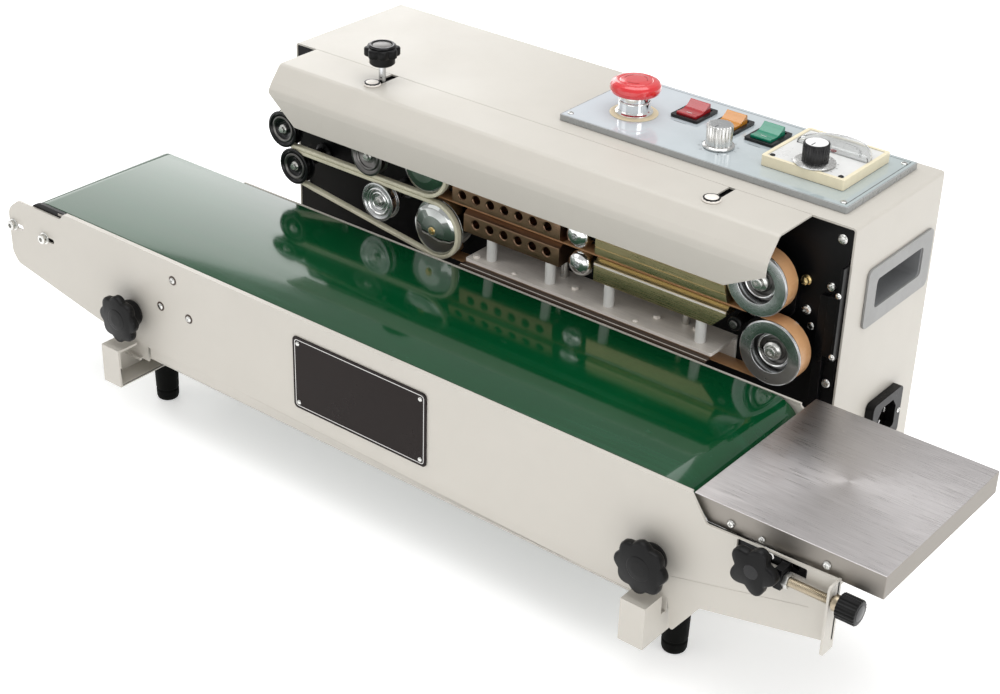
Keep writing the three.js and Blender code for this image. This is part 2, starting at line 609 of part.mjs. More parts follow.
// Roller bored to run on the bracket's axle
const tensionRoller = () => cut(
  rod('y', RIGHT_ROLLER, ROLLER_RADIUS, ...ROLLER_Y, 20),
  rod('y', RIGHT_ROLLER, 5.4, -5, 155, 16));

const tensionScrew = () => add(
  rod('x', TENSION_YZ, 3.5, 374, 428, 14),
  rod('x', TENSION_YZ, 6, 422.5, 428, 18),
  turned('x', TENSION_YZ, [
    [0, 427], [8.4, 427], [9.6, 428.2], [9.6, 441], [8.4, 442.4], [0, 442.4],
  ], 20));

const lockKnob = () => add(
  prismY(lobes(LOCK_XZ, 19.5, 14.2, 5, 8), -27, -18.6),
  rod('y', LOCK_XZ, 7, -19, -17, 16),
  rod('y', LOCK_XZ, 2.8, -18, -3, 12));

// Knob, collar, screw and the six-sided head behind the arm's tab
const starKnob = (centre) => add(
  prismY(lobes(centre, 22.6, 20.2, 8, 5), -26.5, -18.5),
  rod('y', centre, 13, -19, -5.5, 18),
  rod('y', centre, 3, -6, 4.2, 12),
  rod('y', centre, 5.5, 0.1, 4.2, 6));

// Stainless run-off plate: an upside-down tray open towards the belt
const endPlate = () => cut(
  box(300.4, 452.2, 0, 167.7, -20.8, -2.2),
  box(299, 450.7, 1.5, 166.2, -30, -3.7),
  prismY([[299, -1], [300.4, -3.7], [314, -22], [299, -22]], -1, 2),
  box(299, 330, 165, 170, -30, -3.7));

// Rounded plate on the front panel
const nameplate = () => {
  const radius = 4;
  const [left, right] = grow([-85.3, 58.3], -radius);     // corner centres
  const [bottom, top] = grow([-84, -16.5], -radius);
  const corners = [[right, top], [left, top], [left, bottom], [right, bottom]];
  const quarter = Math.PI / 2;
  const outline = corners.flatMap((centre, i) => (
    arcPoints(centre, radius, i * quarter, (i + 1) * quarter, 3)));
  return prismY(outline, -6.3, -5.3);
};

// ================================================================ assembly
const LEVELS = ['lower', 'upper'];

put('housing_shell', FINISH.paint, housingShell());
put('rear_cover', FINISH.paint, rearCover());
put('chassis_plate', FINISH.chassis, chassisPlate());
put('control_plate', FINISH.controlPlate, controlPlate());
put('estop_base', FINISH.stopBase, stopBase());
put('estop_stem', FINISH.stopStem, rod('z', STOP_XY, 7.3, 110, 148.3, 16));
put('estop_button', FINISH.stopButton, turned('z', STOP_XY, STOP_BUTTON_PROFILE, 28));
put('switch_bank', FINISH.blackPlastic, switchBank());
['power', 'fan', 'heat'].forEach((name, i) => {
  put(`rocker_${name}`, FINISH[`${name}Rocker`], rocker(ROCKER_CENTRES[i]));
});
put('speed_knob', FINISH.speedKnob, speedKnob());
put('temp_controller', FINISH.creamPlastic, tempController());
put('temp_knob', FINISH.smallKnob, tempKnob());
put('power_inlet', FINISH.blackPlastic, powerInlet());
put('handle_right', FINISH.handle, handle(1));
put('handle_left', FINISH.handle, handle(-1));
put('pressure_knob', FINISH.smallKnob, pressureKnob());
put('hood', FINISH.paint, hood());

put('block_shelf', FINISH.shelf, blockShelf());
for (const [name, level, finish, ...layout] of BLOCKS) {
  put(`${name}_${level}`, finish, sealingBlock(level, ...layout));
}
for (const [name, finish, axes, profile, segments] of WHEELS) {
  for (const level of LEVELS) {
    put(`${name}_${level}`, finish, turned('y', axes[level], profile, segments));
  }
}
for (const level of LEVELS) put(`seal_band_${level}`, FINISH.sealBand, sealBand(level));
for (const level of LEVELS) put(`guide_belt_${level}`, FINISH.guideBelt, guideBelt(level));
for (const level of LEVELS) put(`drive_gear_${level}`, FINISH.gear, driveGear(level));

put('drive_motor', FINISH.motor, driveMotor());
put('fan_housing', FINISH.blackPlastic, fanHousing());
put('fan_rotor', FINISH.blackPlastic, fanRotor());

for (const layout of SIDES) {
  put(`arm_${layout.side}`, FINISH.paint, arm(layout));
  put(`foot_front_${layout.side}`, FINISH.rubber, frontFoot(layout));
  put(`foot_rear_${layout.side}`, FINISH.rubber, rearFoot(layout));
}

put('table_frame', FINISH.paint, tableFrame());
put('conveyor_belt', FINISH.conveyorBelt, conveyorBelt());
put('drive_roller', FINISH.roller, driveRoller());
put('tension_bracket', FINISH.bracket, tensionBracket());
put('tension_roller', FINISH.roller, tensionRoller());
put('tension_screw', FINISH.tensionScrew, tensionScrew());
put('lock_knob', FINISH.clampKnob, lockKnob());
for (const { side, clampX } of SIDES) {
  put(`star_knob_${side}`, FINISH.clampKnob, starKnob([clampX, CLAMP_Z]));
}
put('end_plate', FINISH.stainless, endPlate());
put('nameplate', FINISH.nameplate, nameplate());

export default part;
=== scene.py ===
# A table-top band sealer. A painted case stands on two arms, its control panel on top and the
# sealing line of heated bands and wheels along its front; a belt table runs before it.
# x runs right along the belt, y back into the case, z up.
import json
from collections import namedtuple
from functools import lru_cache
from math import acos, atan2, cos, hypot, pi, radians, sin, tan, tau

import bmesh
import bpy
from mathutils import Matrix, Vector
from mathutils.geometry import tessellate_polygon


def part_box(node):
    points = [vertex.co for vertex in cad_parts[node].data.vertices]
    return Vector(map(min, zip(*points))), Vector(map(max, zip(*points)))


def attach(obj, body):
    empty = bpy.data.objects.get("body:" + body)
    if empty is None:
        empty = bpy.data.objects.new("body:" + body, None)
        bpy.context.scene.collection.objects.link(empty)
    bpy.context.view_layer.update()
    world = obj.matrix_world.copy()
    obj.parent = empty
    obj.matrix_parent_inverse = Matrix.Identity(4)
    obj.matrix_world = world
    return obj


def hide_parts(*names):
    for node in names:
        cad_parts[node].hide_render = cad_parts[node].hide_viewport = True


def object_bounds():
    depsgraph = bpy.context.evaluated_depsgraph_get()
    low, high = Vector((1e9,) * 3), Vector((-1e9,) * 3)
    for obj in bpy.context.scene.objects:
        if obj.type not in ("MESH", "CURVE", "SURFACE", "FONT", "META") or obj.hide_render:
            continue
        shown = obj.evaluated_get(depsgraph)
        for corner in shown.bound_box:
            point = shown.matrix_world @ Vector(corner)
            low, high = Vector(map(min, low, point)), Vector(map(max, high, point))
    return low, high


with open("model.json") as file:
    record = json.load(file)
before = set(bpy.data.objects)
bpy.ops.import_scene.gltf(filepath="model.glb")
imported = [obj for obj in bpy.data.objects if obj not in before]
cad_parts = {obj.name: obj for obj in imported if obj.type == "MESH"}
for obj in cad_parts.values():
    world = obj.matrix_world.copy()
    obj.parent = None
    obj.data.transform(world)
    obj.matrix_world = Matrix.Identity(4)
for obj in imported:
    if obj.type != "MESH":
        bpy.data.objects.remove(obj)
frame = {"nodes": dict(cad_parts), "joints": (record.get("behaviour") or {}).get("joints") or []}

cad_lo, cad_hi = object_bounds()

# ------------------------------------------------------------------ drawing datum
# The record is in metres from the ground. Pieces are drawn in millimetres on a datum where
# z 0 is the belt's top, y 0 its front edge line, and the belt ends at BELT_END_X.
BELT_END_X = 300.0
BELT_FRONT_Y = 0.5
belt_lo, belt_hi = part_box("conveyor_belt")
DATUM = (belt_hi.x * 1000 - BELT_END_X, belt_lo.y * 1000 - BELT_FRONT_Y, belt_hi.z * 1000)
JOINTS = {joint["name"]: joint for joint in frame["joints"]}


class Box(namedtuple("Box", "x0 x1 y0 y1 z0 z1")):
    @property
    def xy(self):
        return self.x0, self.x1, self.y0, self.y1

    @property
    def xz(self):
        return self.x0, self.x1, self.z0, self.z1


def to_metres(point):
    return tuple((a + d) / 1000 for a, d in zip(point, DATUM))


def to_datum(point):
    return tuple(a * 1000 - d for a, d in zip(point, DATUM))


def box_of(node):
    lo, hi = [to_datum(corner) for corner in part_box(node)]
    return Box(lo[0], hi[0], lo[1], hi[1], lo[2], hi[2])


def pivot(joint):
    return to_datum(JOINTS[joint]["pos_m"])


def pivot_xz(joint):
    x, _, z = pivot(joint)
    return x, z


# ------------------------------------------------------------------ material builder
class Material:
    """A node material on the Principled shader, in object space (metres)."""

    def __init__(self, name, color, roughness, metallic=0.0, **inputs):
        self.m = bpy.data.materials.new(name)
        self.m.use_nodes = True
        self.tree = self.m.node_tree
        self.shader = next(n for n in self.tree.nodes if n.type == "BSDF_PRINCIPLED")
        self.coords = self.node("ShaderNodeTexCoord").outputs["Object"]
        self.color = (*color, 1.0)
        self.rough = roughness
        self.normal = None
        self.m.diffuse_color = self.color
        start = {"Base_Color": self.color, "Roughness": roughness, "Metallic": metallic}
        for key, value in {**start, **inputs}.items():
            self.shader.inputs[key.replace("_", " ")].default_value = value

    def node(self, kind, **props):
        n = self.tree.nodes.new(kind)
        for key, value in props.items():
            setattr(n, key, value)
        return n

    def put(self, socket, value):
        """Links an output to the socket, or sets a plain value."""
        if hasattr(value, "is_output"):
            self.tree.links.new(value, socket)
        else:
            socket.default_value = value

    def calc(self, operation, a, b, clamp=False):
        n = self.node("ShaderNodeMath", operation=operation, use_clamp=clamp)
        self.put(n.inputs[0], a)
        self.put(n.inputs[1], b)
        return n.outputs[0]

    def noise(self, scale, detail=3.0, rough=0.5, stretch=None, distort=0.0):
        """Noise; stretch scales the coordinates per axis."""
        vector = self.coords
        if stretch:
            mapping = self.node("ShaderNodeMapping")
            self.put(mapping.inputs["Vector"], vector)
            mapping.inputs["Scale"].default_value = stretch
            vector = mapping.outputs[0]
        n = self.node("ShaderNodeTexNoise")
        self.put(n.inputs["Vector"], vector)
        n.inputs["Scale"].default_value = scale
        n.inputs["Detail"].default_value = detail
        n.inputs["Roughness"].default_value = rough
        n.inputs["Distortion"].default_value = distort
        return n.outputs["Fac"]

    def wave(self, scale, axis):
        n = self.node("ShaderNodeTexWave", wave_type="BANDS", bands_direction=axis)
        self.put(n.inputs["Vector"], self.coords)
        n.inputs["Scale"].default_value = scale
        return n.outputs["Fac"]

    def ramp(self, field, lo, hi, start=0.0, end=1.0):
        """Maps lo..hi of the field to start..end, clamped."""
        n = self.node("ShaderNodeMapRange", clamp=True)
        self.put(n.inputs["Value"], field)
        n.inputs["From Min"].default_value = lo
        n.inputs["From Max"].default_value = hi
        n.inputs["To Min"].default_value = start
        n.inputs["To Max"].default_value = end
        return n.outputs["Result"]

    def patches(self, lo, hi, **noise):
        """Mask of the noise above lo, full at hi."""
        return self.ramp(self.noise(**noise), lo, hi)

    def mix(self, factor, a, b):
        n = self.node("ShaderNodeMix", data_type="RGBA", blend_type="MIX")
        for index, value in ((0, factor), (6, a), (7, b)):
            self.put(n.inputs[index], value)
        return n.outputs[2]

    def edges(self, radius_mm, lo, hi):
        """1 on convex and concave edges, 0 on flat faces."""
        bevel = self.node("ShaderNodeBevel", samples=4)
        bevel.inputs["Radius"].default_value = radius_mm / 1000
        geometry = self.node("ShaderNodeNewGeometry")
        dot = self.node("ShaderNodeVectorMath", operation="DOT_PRODUCT")
        self.put(dot.inputs[0], bevel.outputs[0])
        self.put(dot.inputs[1], geometry.outputs["Normal"])
        return self.ramp(self.calc("SUBTRACT", 1.0, dot.outputs["Value"]), lo, hi)

    def tint(self, mask, color, amount):
        factor = self.calc("MULTIPLY", mask, amount, clamp=True)
        self.color = self.mix(factor, self.color, (*color, 1.0))
        return self

    def wear(self, color, amount, radius_mm, start, scale, lo, hi):
        """Rubbed edges, broken up by patches of noise."""
        edge = self.edges(radius_mm, lo=start, hi=0.3)
        mask = self.calc("MULTIPLY", edge, self.patches(lo, hi, scale=scale))
        return self.tint(mask, color, amount)

    def vary(self, scale, amount, detail=4, stretch=None):
        """Brightness wanders by the amount either way."""
        field = self.noise(scale, detail, rough=0.55, stretch=stretch)
        gain = self.ramp(field, lo=0.3, hi=0.7, start=1 - amount, end=1 + amount)
        n = self.node("ShaderNodeVectorMath", operation="SCALE")
        linked = hasattr(self.color, "is_output")
        self.put(n.inputs[0], self.color if linked else self.color[:3])
        self.put(n.inputs["Scale"], gain)
        self.color = n.outputs[0]
        return self

    def roughen_by(self, field, amount):
        change = self.ramp(field, lo=0.3, hi=0.7, start=-amount, end=amount)
        self.rough = self.calc("ADD", self.rough, change, clamp=True)

    def roughen(self, scale, amount):
        self.roughen_by(self.noise(scale, detail=4, rough=0.6), amount)
        return self

    def bump(self, height, strength, depth_mm):
        n = self.node("ShaderNodeBump")
        n.inputs["Strength"].default_value = strength
        n.inputs["Distance"].default_value = depth_mm / 1000
        self.put(n.inputs["Height"], height)
        if self.normal is not None:
            self.put(n.inputs["Normal"], self.normal)
        self.normal = n.outputs[0]
        return self

    def done(self):
        inputs = self.shader.inputs
        self.put(inputs["Base Color"], self.color)
        self.put(inputs["Roughness"], self.rough)
        if self.normal is not None:
            self.put(inputs["Normal"], self.normal)
            if inputs["Coat Weight"].default_value > 0:
                self.put(inputs["Coat Normal"], self.normal)
        return self.m


# ------------------------------------------------------------------ materials
def paint():
    m = Material("paint_warm_grey", (0.520, 0.494, 0.446), 0.42, IOR=1.5)
    m.vary(scale=3.5, amount=0.018).vary(scale=40, amount=0.012)
    m.wear((0.74, 0.72, 0.68), amount=0.55, radius_mm=0.7, start=0.03, scale=140, lo=0.55, hi=0.7)
    specks = m.patches(0.70, 0.76, scale=520, detail=1, rough=0.4)
    m.tint(specks, (0.42, 0.40, 0.36), amount=0.18)
    handling = m.patches(0.60, 0.78, scale=9, detail=5, rough=0.7, distort=0.6)
    m.tint(handling, (0.50, 0.46, 0.40), amount=0.16)
    m.roughen(scale=14, amount=0.05).roughen(scale=160, amount=0.03)
    m.bump(m.noise(scale=950, detail=2), strength=0.22, depth_mm=0.05)
    m.bump(m.noise(scale=230, detail=2), strength=0.10, depth_mm=0.10)
    return m.done()


def metal(name, color, roughness, brush=None, brush_amount=0.1, spots=0.0, edge=None,
          metallic=1.0):
    """Metal; brush is the stretch of its grain, edge the colour of its rubbed edges."""
    m = Material(name, color, roughness, metallic)
    m.vary(scale=12, amount=0.05).vary(scale=90, amount=0.03)
    if brush:
        grain = m.noise(scale=60, detail=6, rough=0.7, stretch=brush)
        m.roughen_by(grain, brush_amount)
        m.bump(grain, strength=0.12, depth_mm=0.05)
        m.vary(scale=60, amount=0.06, detail=5, stretch=brush)
    else:
        m.roughen(scale=60, amount=0.05)
    m.roughen(scale=10, amount=0.04)
    if spots:
        stains = m.patches(0.58, 0.74, scale=75, detail=6, rough=0.7, distort=0.4)
        m.tint(stains, (0.16, 0.12, 0.09), amount=spots)
    if edge:
        m.tint(m.edges(radius_mm=0.5, lo=0.03, hi=0.25), edge, amount=0.6)
    m.bump(m.noise(scale=700, detail=3, rough=0.6), strength=0.05, depth_mm=0.03)
    return m.done()


def plastic(name, color, roughness=0.4, grain=900, grain_amount=0.2, worn=None, **inputs):
    """Moulded plastic; worn is the colour of its rubbed edges."""
    m = Material(name, color, roughness, **inputs)
    m.vary(scale=10, amount=0.05).vary(scale=120, amount=0.03)
    if worn:
        m.wear(worn, amount=0.55, radius_mm=0.6, start=0.04, scale=160, lo=0.4, hi=0.65)
    lighter = tuple(min(1, c * 1.5 + 0.008) for c in color)
    m.tint(m.patches(0.66, 0.75, scale=300, detail=4, rough=0.7), lighter, amount=0.25)
    m.roughen(scale=22, amount=0.05).roughen(scale=200, amount=0.04)
    m.bump(m.noise(scale=grain, detail=2), strength=grain_amount, depth_mm=0.04)
    return m.done()


def green_belt():
    m = Material("belt_green", (0.0012, 0.048, 0.0145), 0.19, IOR=1.40, Coat_Weight=0.32,
                 Coat_Roughness=0.05, Coat_IOR=1.5)
    m.vary(scale=5, amount=0.10).vary(scale=60, amount=0.04)
    streak = m.noise(scale=14, detail=4, rough=0.6, stretch=(0.35, 7, 1))
    m.tint(m.ramp(streak, lo=0.52, hi=0.75), (0.006, 0.085, 0.040), amount=0.30)
    dust = m.patches(0.64, 0.74, scale=160, detail=3, rough=0.7)
    m.tint(dust, (0.03, 0.11, 0.07), amount=0.20)
    m.rough = m.ramp(streak, lo=0.35, hi=0.7, start=0.08, end=0.17)
    m.roughen(scale=9, amount=0.03)
    for axis in "XY":
        m.bump(m.wave(scale=560, axis=axis), strength=0.02, depth_mm=0.02)
    slack = m.noise(scale=16, detail=3, stretch=(1.0, 0.6, 1))
    m.bump(slack, strength=0.09, depth_mm=0.6)
    return m.done()


def stainless():
    """Brushed along x; its sides carry painted shade, darker than its top, and are rougher."""
    brush = (0.6, 30, 30)
    m = Material("stainless_brushed", (0.60, 0.575, 0.575), 0.30, 1.0, Anisotropic=0.5)
    grain = m.noise(scale=55, detail=7, rough=0.75, stretch=brush)
    m.vary(scale=3, amount=0.05).vary(scale=55, amount=0.10, detail=6, stretch=brush)
    m.rough = m.ramp(grain, lo=0.25, hi=0.75, start=0.22, end=0.42)
    m.roughen(scale=6, amount=0.05)
    smudges = m.patches(0.60, 0.80, scale=22, detail=5, rough=0.75, stretch=(1, 1.7, 1),
                        distort=0.8)
    m.tint(smudges, (0.36, 0.34, 0.35), amount=0.25)
    # Painted shade: faces that turn away from up get a dark brown-grey tint, chosen by their
    # normal, and more roughness.
    normal = m.node("ShaderNodeSeparateXYZ")
    m.put(normal.inputs[0], m.node("ShaderNodeNewGeometry").outputs["Normal"])
    side = m.ramp(normal.outputs["Z"], lo=0.35, hi=0.8, start=1.0, end=0.0)
    m.tint(side, (0.235, 0.215, 0.185), amount=0.85)
    side_roughness = 0.16
    m.rough = m.calc("ADD", m.rough, m.calc("MULTIPLY", side, side_roughness), clamp=True)
    m.bump(grain, strength=0.16, depth_mm=0.05)
    return m.done()


def enamel():
    m = Material("black_enamel", (0.0035, 0.0035, 0.004), 0.34, IOR=1.5, Specular_IOR_Level=0.16)
    m.vary(scale=8, amount=0.2)
    m.wear((0.16, 0.15, 0.145), amount=0.45, radius_mm=0.6, start=0.03, scale=180, lo=0.45,
           hi=0.62)
    marks = m.patches(0.60, 0.80, scale=45, detail=5, rough=0.7)
    m.tint(marks, (0.022, 0.020, 0.019), amount=0.4)
    m.roughen(scale=20, amount=0.07)
    m.bump(m.noise(scale=800, detail=2), strength=0.25, depth_mm=0.05)
    return m.done()


def glass_cloth():
    m = Material("band_glass_cloth", (0.50, 0.27, 0.125), 0.34, Coat_Weight=0.25,
                 Coat_Roughness=0.2)
    m.vary(scale=14, amount=0.12)
    weave = m.calc("MULTIPLY", m.wave(scale=420, axis="X"), m.wave(scale=420, axis="Y"))
    m.tint(weave, (0.66, 0.43, 0.25), amount=0.35)
    heat = m.patches(0.52, 0.72, scale=20, detail=5, rough=0.7, stretch=(0.5, 8, 0.5))
    m.tint(heat, (0.28, 0.12, 0.05), amount=0.45)
    pale = m.patches(0.60, 0.75, scale=60, detail=4, rough=0.7)
    m.tint(pale, (0.72, 0.50, 0.32), amount=0.3)
    m.roughen(scale=40, amount=0.07)
    m.bump(weave, strength=0.25, depth_mm=0.05)
    return m.done()


def cream_belt():
    m = Material("guide_belt_cream", (0.73, 0.70, 0.54), 0.48)
    m.vary(scale=30, amount=0.08)
    stains = m.patches(0.50, 0.72, scale=55, detail=5, rough=0.7)
    m.tint(stains, (0.52, 0.48, 0.35), amount=0.45)
    specks = m.patches(0.6, 0.72, scale=400, detail=3, rough=0.6)
    m.tint(specks, (0.34, 0.31, 0.24), amount=0.2)
    m.roughen(scale=60, amount=0.08)
    m.bump(m.noise(scale=600), strength=0.3, depth_mm=0.08)
    return m.done()


def overlay():
    """Glossy printed sheet, with painted light: lighter at the left, darker towards the right."""
    m = Material("overlay_pale", (0.56, 0.60, 0.61), 0.09, IOR=1.5, Coat_Weight=1.0,
                 Coat_Roughness=0.03)
    position = m.node("ShaderNodeSeparateXYZ")
    m.put(position.inputs[0], m.coords)
    plate = box_of("control_plate")
    left, right = [(x + DATUM[0]) / 1000 for x in (plate.x0, plate.x1)]
    # Painted light and shade: a lighter blue-grey at the plate's left end runs to a darker one at
    # its right end.
    painted_light_ramp = m.ramp(position.outputs["X"], lo=left, hi=right)
    m.color = m.mix(painted_light_ramp, (0.555, 0.60, 0.645, 1), (0.365, 0.425, 0.43, 1))
    m.vary(scale=20, amount=0.04)
    haze = m.patches(0.55, 0.75, scale=28, detail=5, rough=0.7)
    m.tint(haze, (0.62, 0.64, 0.65), amount=0.25)
    m.roughen(scale=18, amount=0.05)
    m.bump(m.noise(scale=500, detail=2), strength=0.06, depth_mm=0.04)
    return m.done()


def clear():
    m = Material("meter_window", (0.93, 0.94, 0.94), 0.04, IOR=1.49, Transmission_Weight=0.92)
    m.roughen(scale=30, amount=0.02)
    m.vary(scale=20, amount=0.03)
    m.bump(m.noise(scale=90, detail=2), strength=0.03, depth_mm=0.05)
    return m.done()


def grey(value):
    return (value, value, value)


def rocker_plastic(name, color):
    return plastic(name, color, 0.14, grain=500, grain_amount=0.04, Coat_Weight=0.8)


PAINT = paint()
BELT = green_belt()
STAINLESS = stainless()
CHROME = metal("chrome", (0.78, 0.79, 0.79), 0.07, spots=0.10)
CHROME_DEEP = metal("chrome_deep", (0.50, 0.52, 0.51), 0.06, spots=0.10)
STEEL = metal("turned_steel", (0.56, 0.57, 0.58), 0.24, brush=(1, 9, 1), brush_amount=0.07,
              spots=0.15, edge=grey(0.78))
ZINC = metal("zinc_screw", (0.66, 0.66, 0.64), 0.26, spots=0.18, edge=(0.85, 0.85, 0.84))
DARK_STEEL = metal("oiled_steel", (0.16, 0.155, 0.15), 0.33, spots=0.2, edge=grey(0.42))
ALLOY = metal("alloy_shelf", (0.80, 0.755, 0.70), 0.40, brush=(0.8, 14, 14), brush_amount=0.08,
              spots=0.12, metallic=0.08)
COPPER = metal("heater_copper", (0.31, 0.195, 0.125), 0.34, brush=(1, 6, 26), brush_amount=0.09,
               spots=0.55, edge=(0.60, 0.38, 0.26))
GOLD = metal("cooling_gold", (0.60, 0.49, 0.28), 0.30, brush=(0.7, 16, 16), brush_amount=0.07,
             spots=0.18, edge=(0.80, 0.72, 0.52))
ROD = metal("rod_bronze", (0.40, 0.34, 0.25), 0.34, spots=0.3, edge=(0.6, 0.55, 0.45))
BRASS = metal("brass_fitting", (0.72, 0.55, 0.26), 0.28, spots=0.2)
KNURL = metal("knob_alloy", (0.62, 0.62, 0.61), 0.24, brush=(9, 9, 1), brush_amount=0.06,
              edge=grey(0.85))
ENAMEL = enamel()
BLACK = plastic("black_moulding", (0.004, 0.004, 0.0042), 0.33, worn=grey(0.04),
                Specular_IOR_Level=0.17)
BLACK_GLOSS = plastic("black_gloss", (0.005, 0.005, 0.006), 0.14, grain=400, grain_amount=0.04,
                      worn=grey(0.04), Specular_IOR_Level=0.32)
RUBBER = plastic("foot_rubber", (0.0018, 0.002, 0.0016), 0.6, grain=520, grain_amount=0.5,
                 worn=(0.014, 0.014, 0.013), Specular_IOR_Level=0.07)
HANDLE = plastic("handle_grey", (0.275, 0.275, 0.27), 0.45, worn=grey(0.5))
HANDLE_CUP = plastic("handle_cup", (0.20, 0.205, 0.21), 0.5)
CREAM = plastic("cream_moulding", (0.74, 0.67, 0.49), 0.38, worn=(0.84, 0.80, 0.68))
LABEL = plastic("controller_face", (0.66, 0.66, 0.65), 0.3, grain=1200, grain_amount=0.08)
WHITE = plastic("white_cap", (0.78, 0.78, 0.77), 0.3)
CERAMIC = plastic("standoff_white", (0.70, 0.70, 0.68), 0.35, grain=500, grain_amount=0.15)
YELLOW = plastic("stop_legend", (0.70, 0.62, 0.42), 0.4)
BROWN = plastic("strip_brown", (0.045, 0.026, 0.016), 0.45)
RED_DARK = plastic("stem_red", (0.35, 0.02, 0.02), 0.4)
RED = plastic("stop_red", (0.60, 0.012, 0.018), 0.20, grain=500, grain_amount=0.04,
              worn=(0.72, 0.16, 0.15), Coat_Weight=0.9, Coat_Roughness=0.08)
ROCKER_RED = rocker_plastic("rocker_red", (0.36, 0.004, 0.010))
ROCKER_AMBER = rocker_plastic("rocker_amber", (0.52, 0.20, 0.012))
ROCKER_GREEN = rocker_plastic("rocker_green", (0.0, 0.21, 0.12))
MOTOR = plastic("motor_paint", (0.09, 0.10, 0.105), 0.45, grain=300, grain_amount=0.5,
                worn=grey(0.3))
BAND = glass_cloth()
GUIDE = cream_belt()
OVERLAY = overlay()
PLATE_EDGE = plastic("panel_grey_edge", (0.30, 0.31, 0.31), 0.28, worn=grey(0.55),
                     Coat_Weight=0.4)
INK = plastic("printed_ink", (0.035, 0.04, 0.045), 0.4)
NAMEPLATE = plastic("nameplate_black", (0.010, 0.0058, 0.005), 0.32, grain=700,
                    grain_amount=0.12, worn=(0.14, 0.13, 0.13), Specular_IOR_Level=0.12)
PALE_INK = metal("plate_bright_line", (0.55, 0.54, 0.53), 0.35)
CLEAR = clear()

# ------------------------------------------------------------------ outlines
# An outline is a list of 2-D points, a shape a pair (vertices, faces).
# PLACE puts two cross-section coordinates and a station along the named axis into x, y, z.
PLACE = {
    "x": lambda a, b, station: (station, a, b),
    "y": lambda a, b, station: (a, station, b),
    "z": lambda a, b, station: (a, b, station),
}


def arc(cx, cy, rx, ry, start, sweep, n):
    angles = [start + sweep * i / n for i in range(n + 1)]
    return [(cx + rx * cos(t), cy + ry * sin(t)) for t in angles]


def fillet(points, radius, seg=4, closed=True):
    """Rounds the corners of an outline. A corner may give its own radius as a third number."""
    out, last = [], len(points) - 1
    for i, point in enumerate(points):
        r = point[2] if len(point) > 2 else radius
        corner = Vector(point[:2])
        to_prev = Vector(points[i - 1][:2]) - corner
        to_next = Vector(points[(i + 1) % len(points)][:2]) - corner
        len_prev, len_next = to_prev.length, to_next.length
        is_end = not closed and i in (0, last)
        if is_end or r <= 0 or min(len_prev, len_next) < 1e-6:
            out.append(tuple(corner))
            continue
        u, v = to_prev / len_prev, to_next / len_next
        angle = acos(max(-1, min(1, u.dot(v))))
        if angle > pi - 0.05:
            out.append(tuple(corner))
            continue
        reach = min(r / tan(angle / 2), len_prev * 0.48, len_next * 0.48)
        r = reach * tan(angle / 2)
        centre = corner + (u + v).normalized() * (r / sin(angle / 2))
        first, end = corner + u * reach - centre, corner + v * reach - centre
        start = atan2(first.y, first.x)
        sweep = (atan2(end.y, end.x) - start + pi) % tau - pi
        out += arc(centre.x, centre.y, r, r, start, sweep, seg)
    return out


def circle(cx, cy, r, n=40):
    return arc(cx, cy, r, r, 0, tau, n)[:-1]


def rect(x0, x1, y0, y1, r=0.0, seg=4, inset=0):
    x0, x1, y0, y1 = x0 + inset, x1 - inset, y0 + inset, y1 - inset
    corners = [(x0, y0), (x1, y0), (x1, y1), (x0, y1)]
    return fillet(corners, r, seg) if r else corners


def centred(cx, cy, half_x, half_y, r=0.0, seg=4):
    return rect(cx - half_x, cx + half_x, cy - half_y, cy + half_y, r, seg)


def slot_hole(cx, cy, length, r):
    h = length / 2 - r
    return arc(cx + h, cy, r, r, -pi / 2, pi, 8) + arc(cx - h, cy, r, r, pi / 2, pi, 8)


def sheet(line, thickness):
    """Section of folded sheet: the line and its offset to the left of travel."""
    points = [Vector(p) for p in line]
    ways = [(b - a).normalized() for a, b in zip(points, points[1:])]
    lefts = [Vector((-d.y, d.x)) for d in ways]
    offset = []
    for i, p in enumerate(points):
        before, after = lefts[max(i - 1, 0)], lefts[min(i, len(lefts) - 1)]
        normal = (before + after).normalized()
        offset.append(p + normal * thickness * (1 / max(0.3, normal.dot(before))))
    return [tuple(p) for p in points] + [tuple(p) for p in reversed(offset)]


# ------------------------------------------------------------------ shapes
def prism(outline, axis, lo, hi, holes=()):
    """A closed plate: outline with holes, pushed from lo to hi along the axis."""
    place = PLACE[axis]
    loops = [outline, *holes]
    flat = [p for loop in loops for p in loop]
    triangles = tessellate_polygon([[Vector((*p[:2], 0)) for p in loop] for loop in loops])
    n = len(flat)
    verts = [place(p[0], p[1], station) for station in (lo, hi) for p in flat]
    faces = [tuple(t) for t in triangles]
    faces += [tuple(i + n for i in reversed(t)) for t in triangles]
    start = 0
    for loop in loops:
        for i in range(len(loop)):
            a, b = start + i, start + (i + 1) % len(loop)
            faces.append((a, b, b + n, a + n))
        start += len(loop)
    return verts, faces


def lathe(profile, axis, centre, n=72):
    """Turns (radius, station) points; the profile ends on the axis or closes on itself."""
    place = PLACE[axis]
    verts, faces, rings = [], [], []
    for r, station in profile:
        count = 1 if r < 1e-7 else n
        rings.append(range(len(verts), len(verts) + count))
        if count == 1:
            verts.append(place(*centre, station))
        else:
            angles = [tau * i / n for i in range(n)]
            verts += [place(centre[0] + r * cos(t), centre[1] + r * sin(t), station)
                      for t in angles]
    pairs = list(zip(rings, rings[1:]))
    if len(rings[0]) > 1 and len(rings[-1]) > 1:
        pairs.append((rings[-1], rings[0]))
    for a, b in pairs:
        for i in range(n):
            j = (i + 1) % n
            if len(a) == 1:
                faces.append((a[0], b[i], b[j]))
            elif len(b) == 1:
                faces.append((a[i], b[0], a[j]))
            else:
                faces.append((a[i], b[i], b[j], a[j]))
    return verts, faces


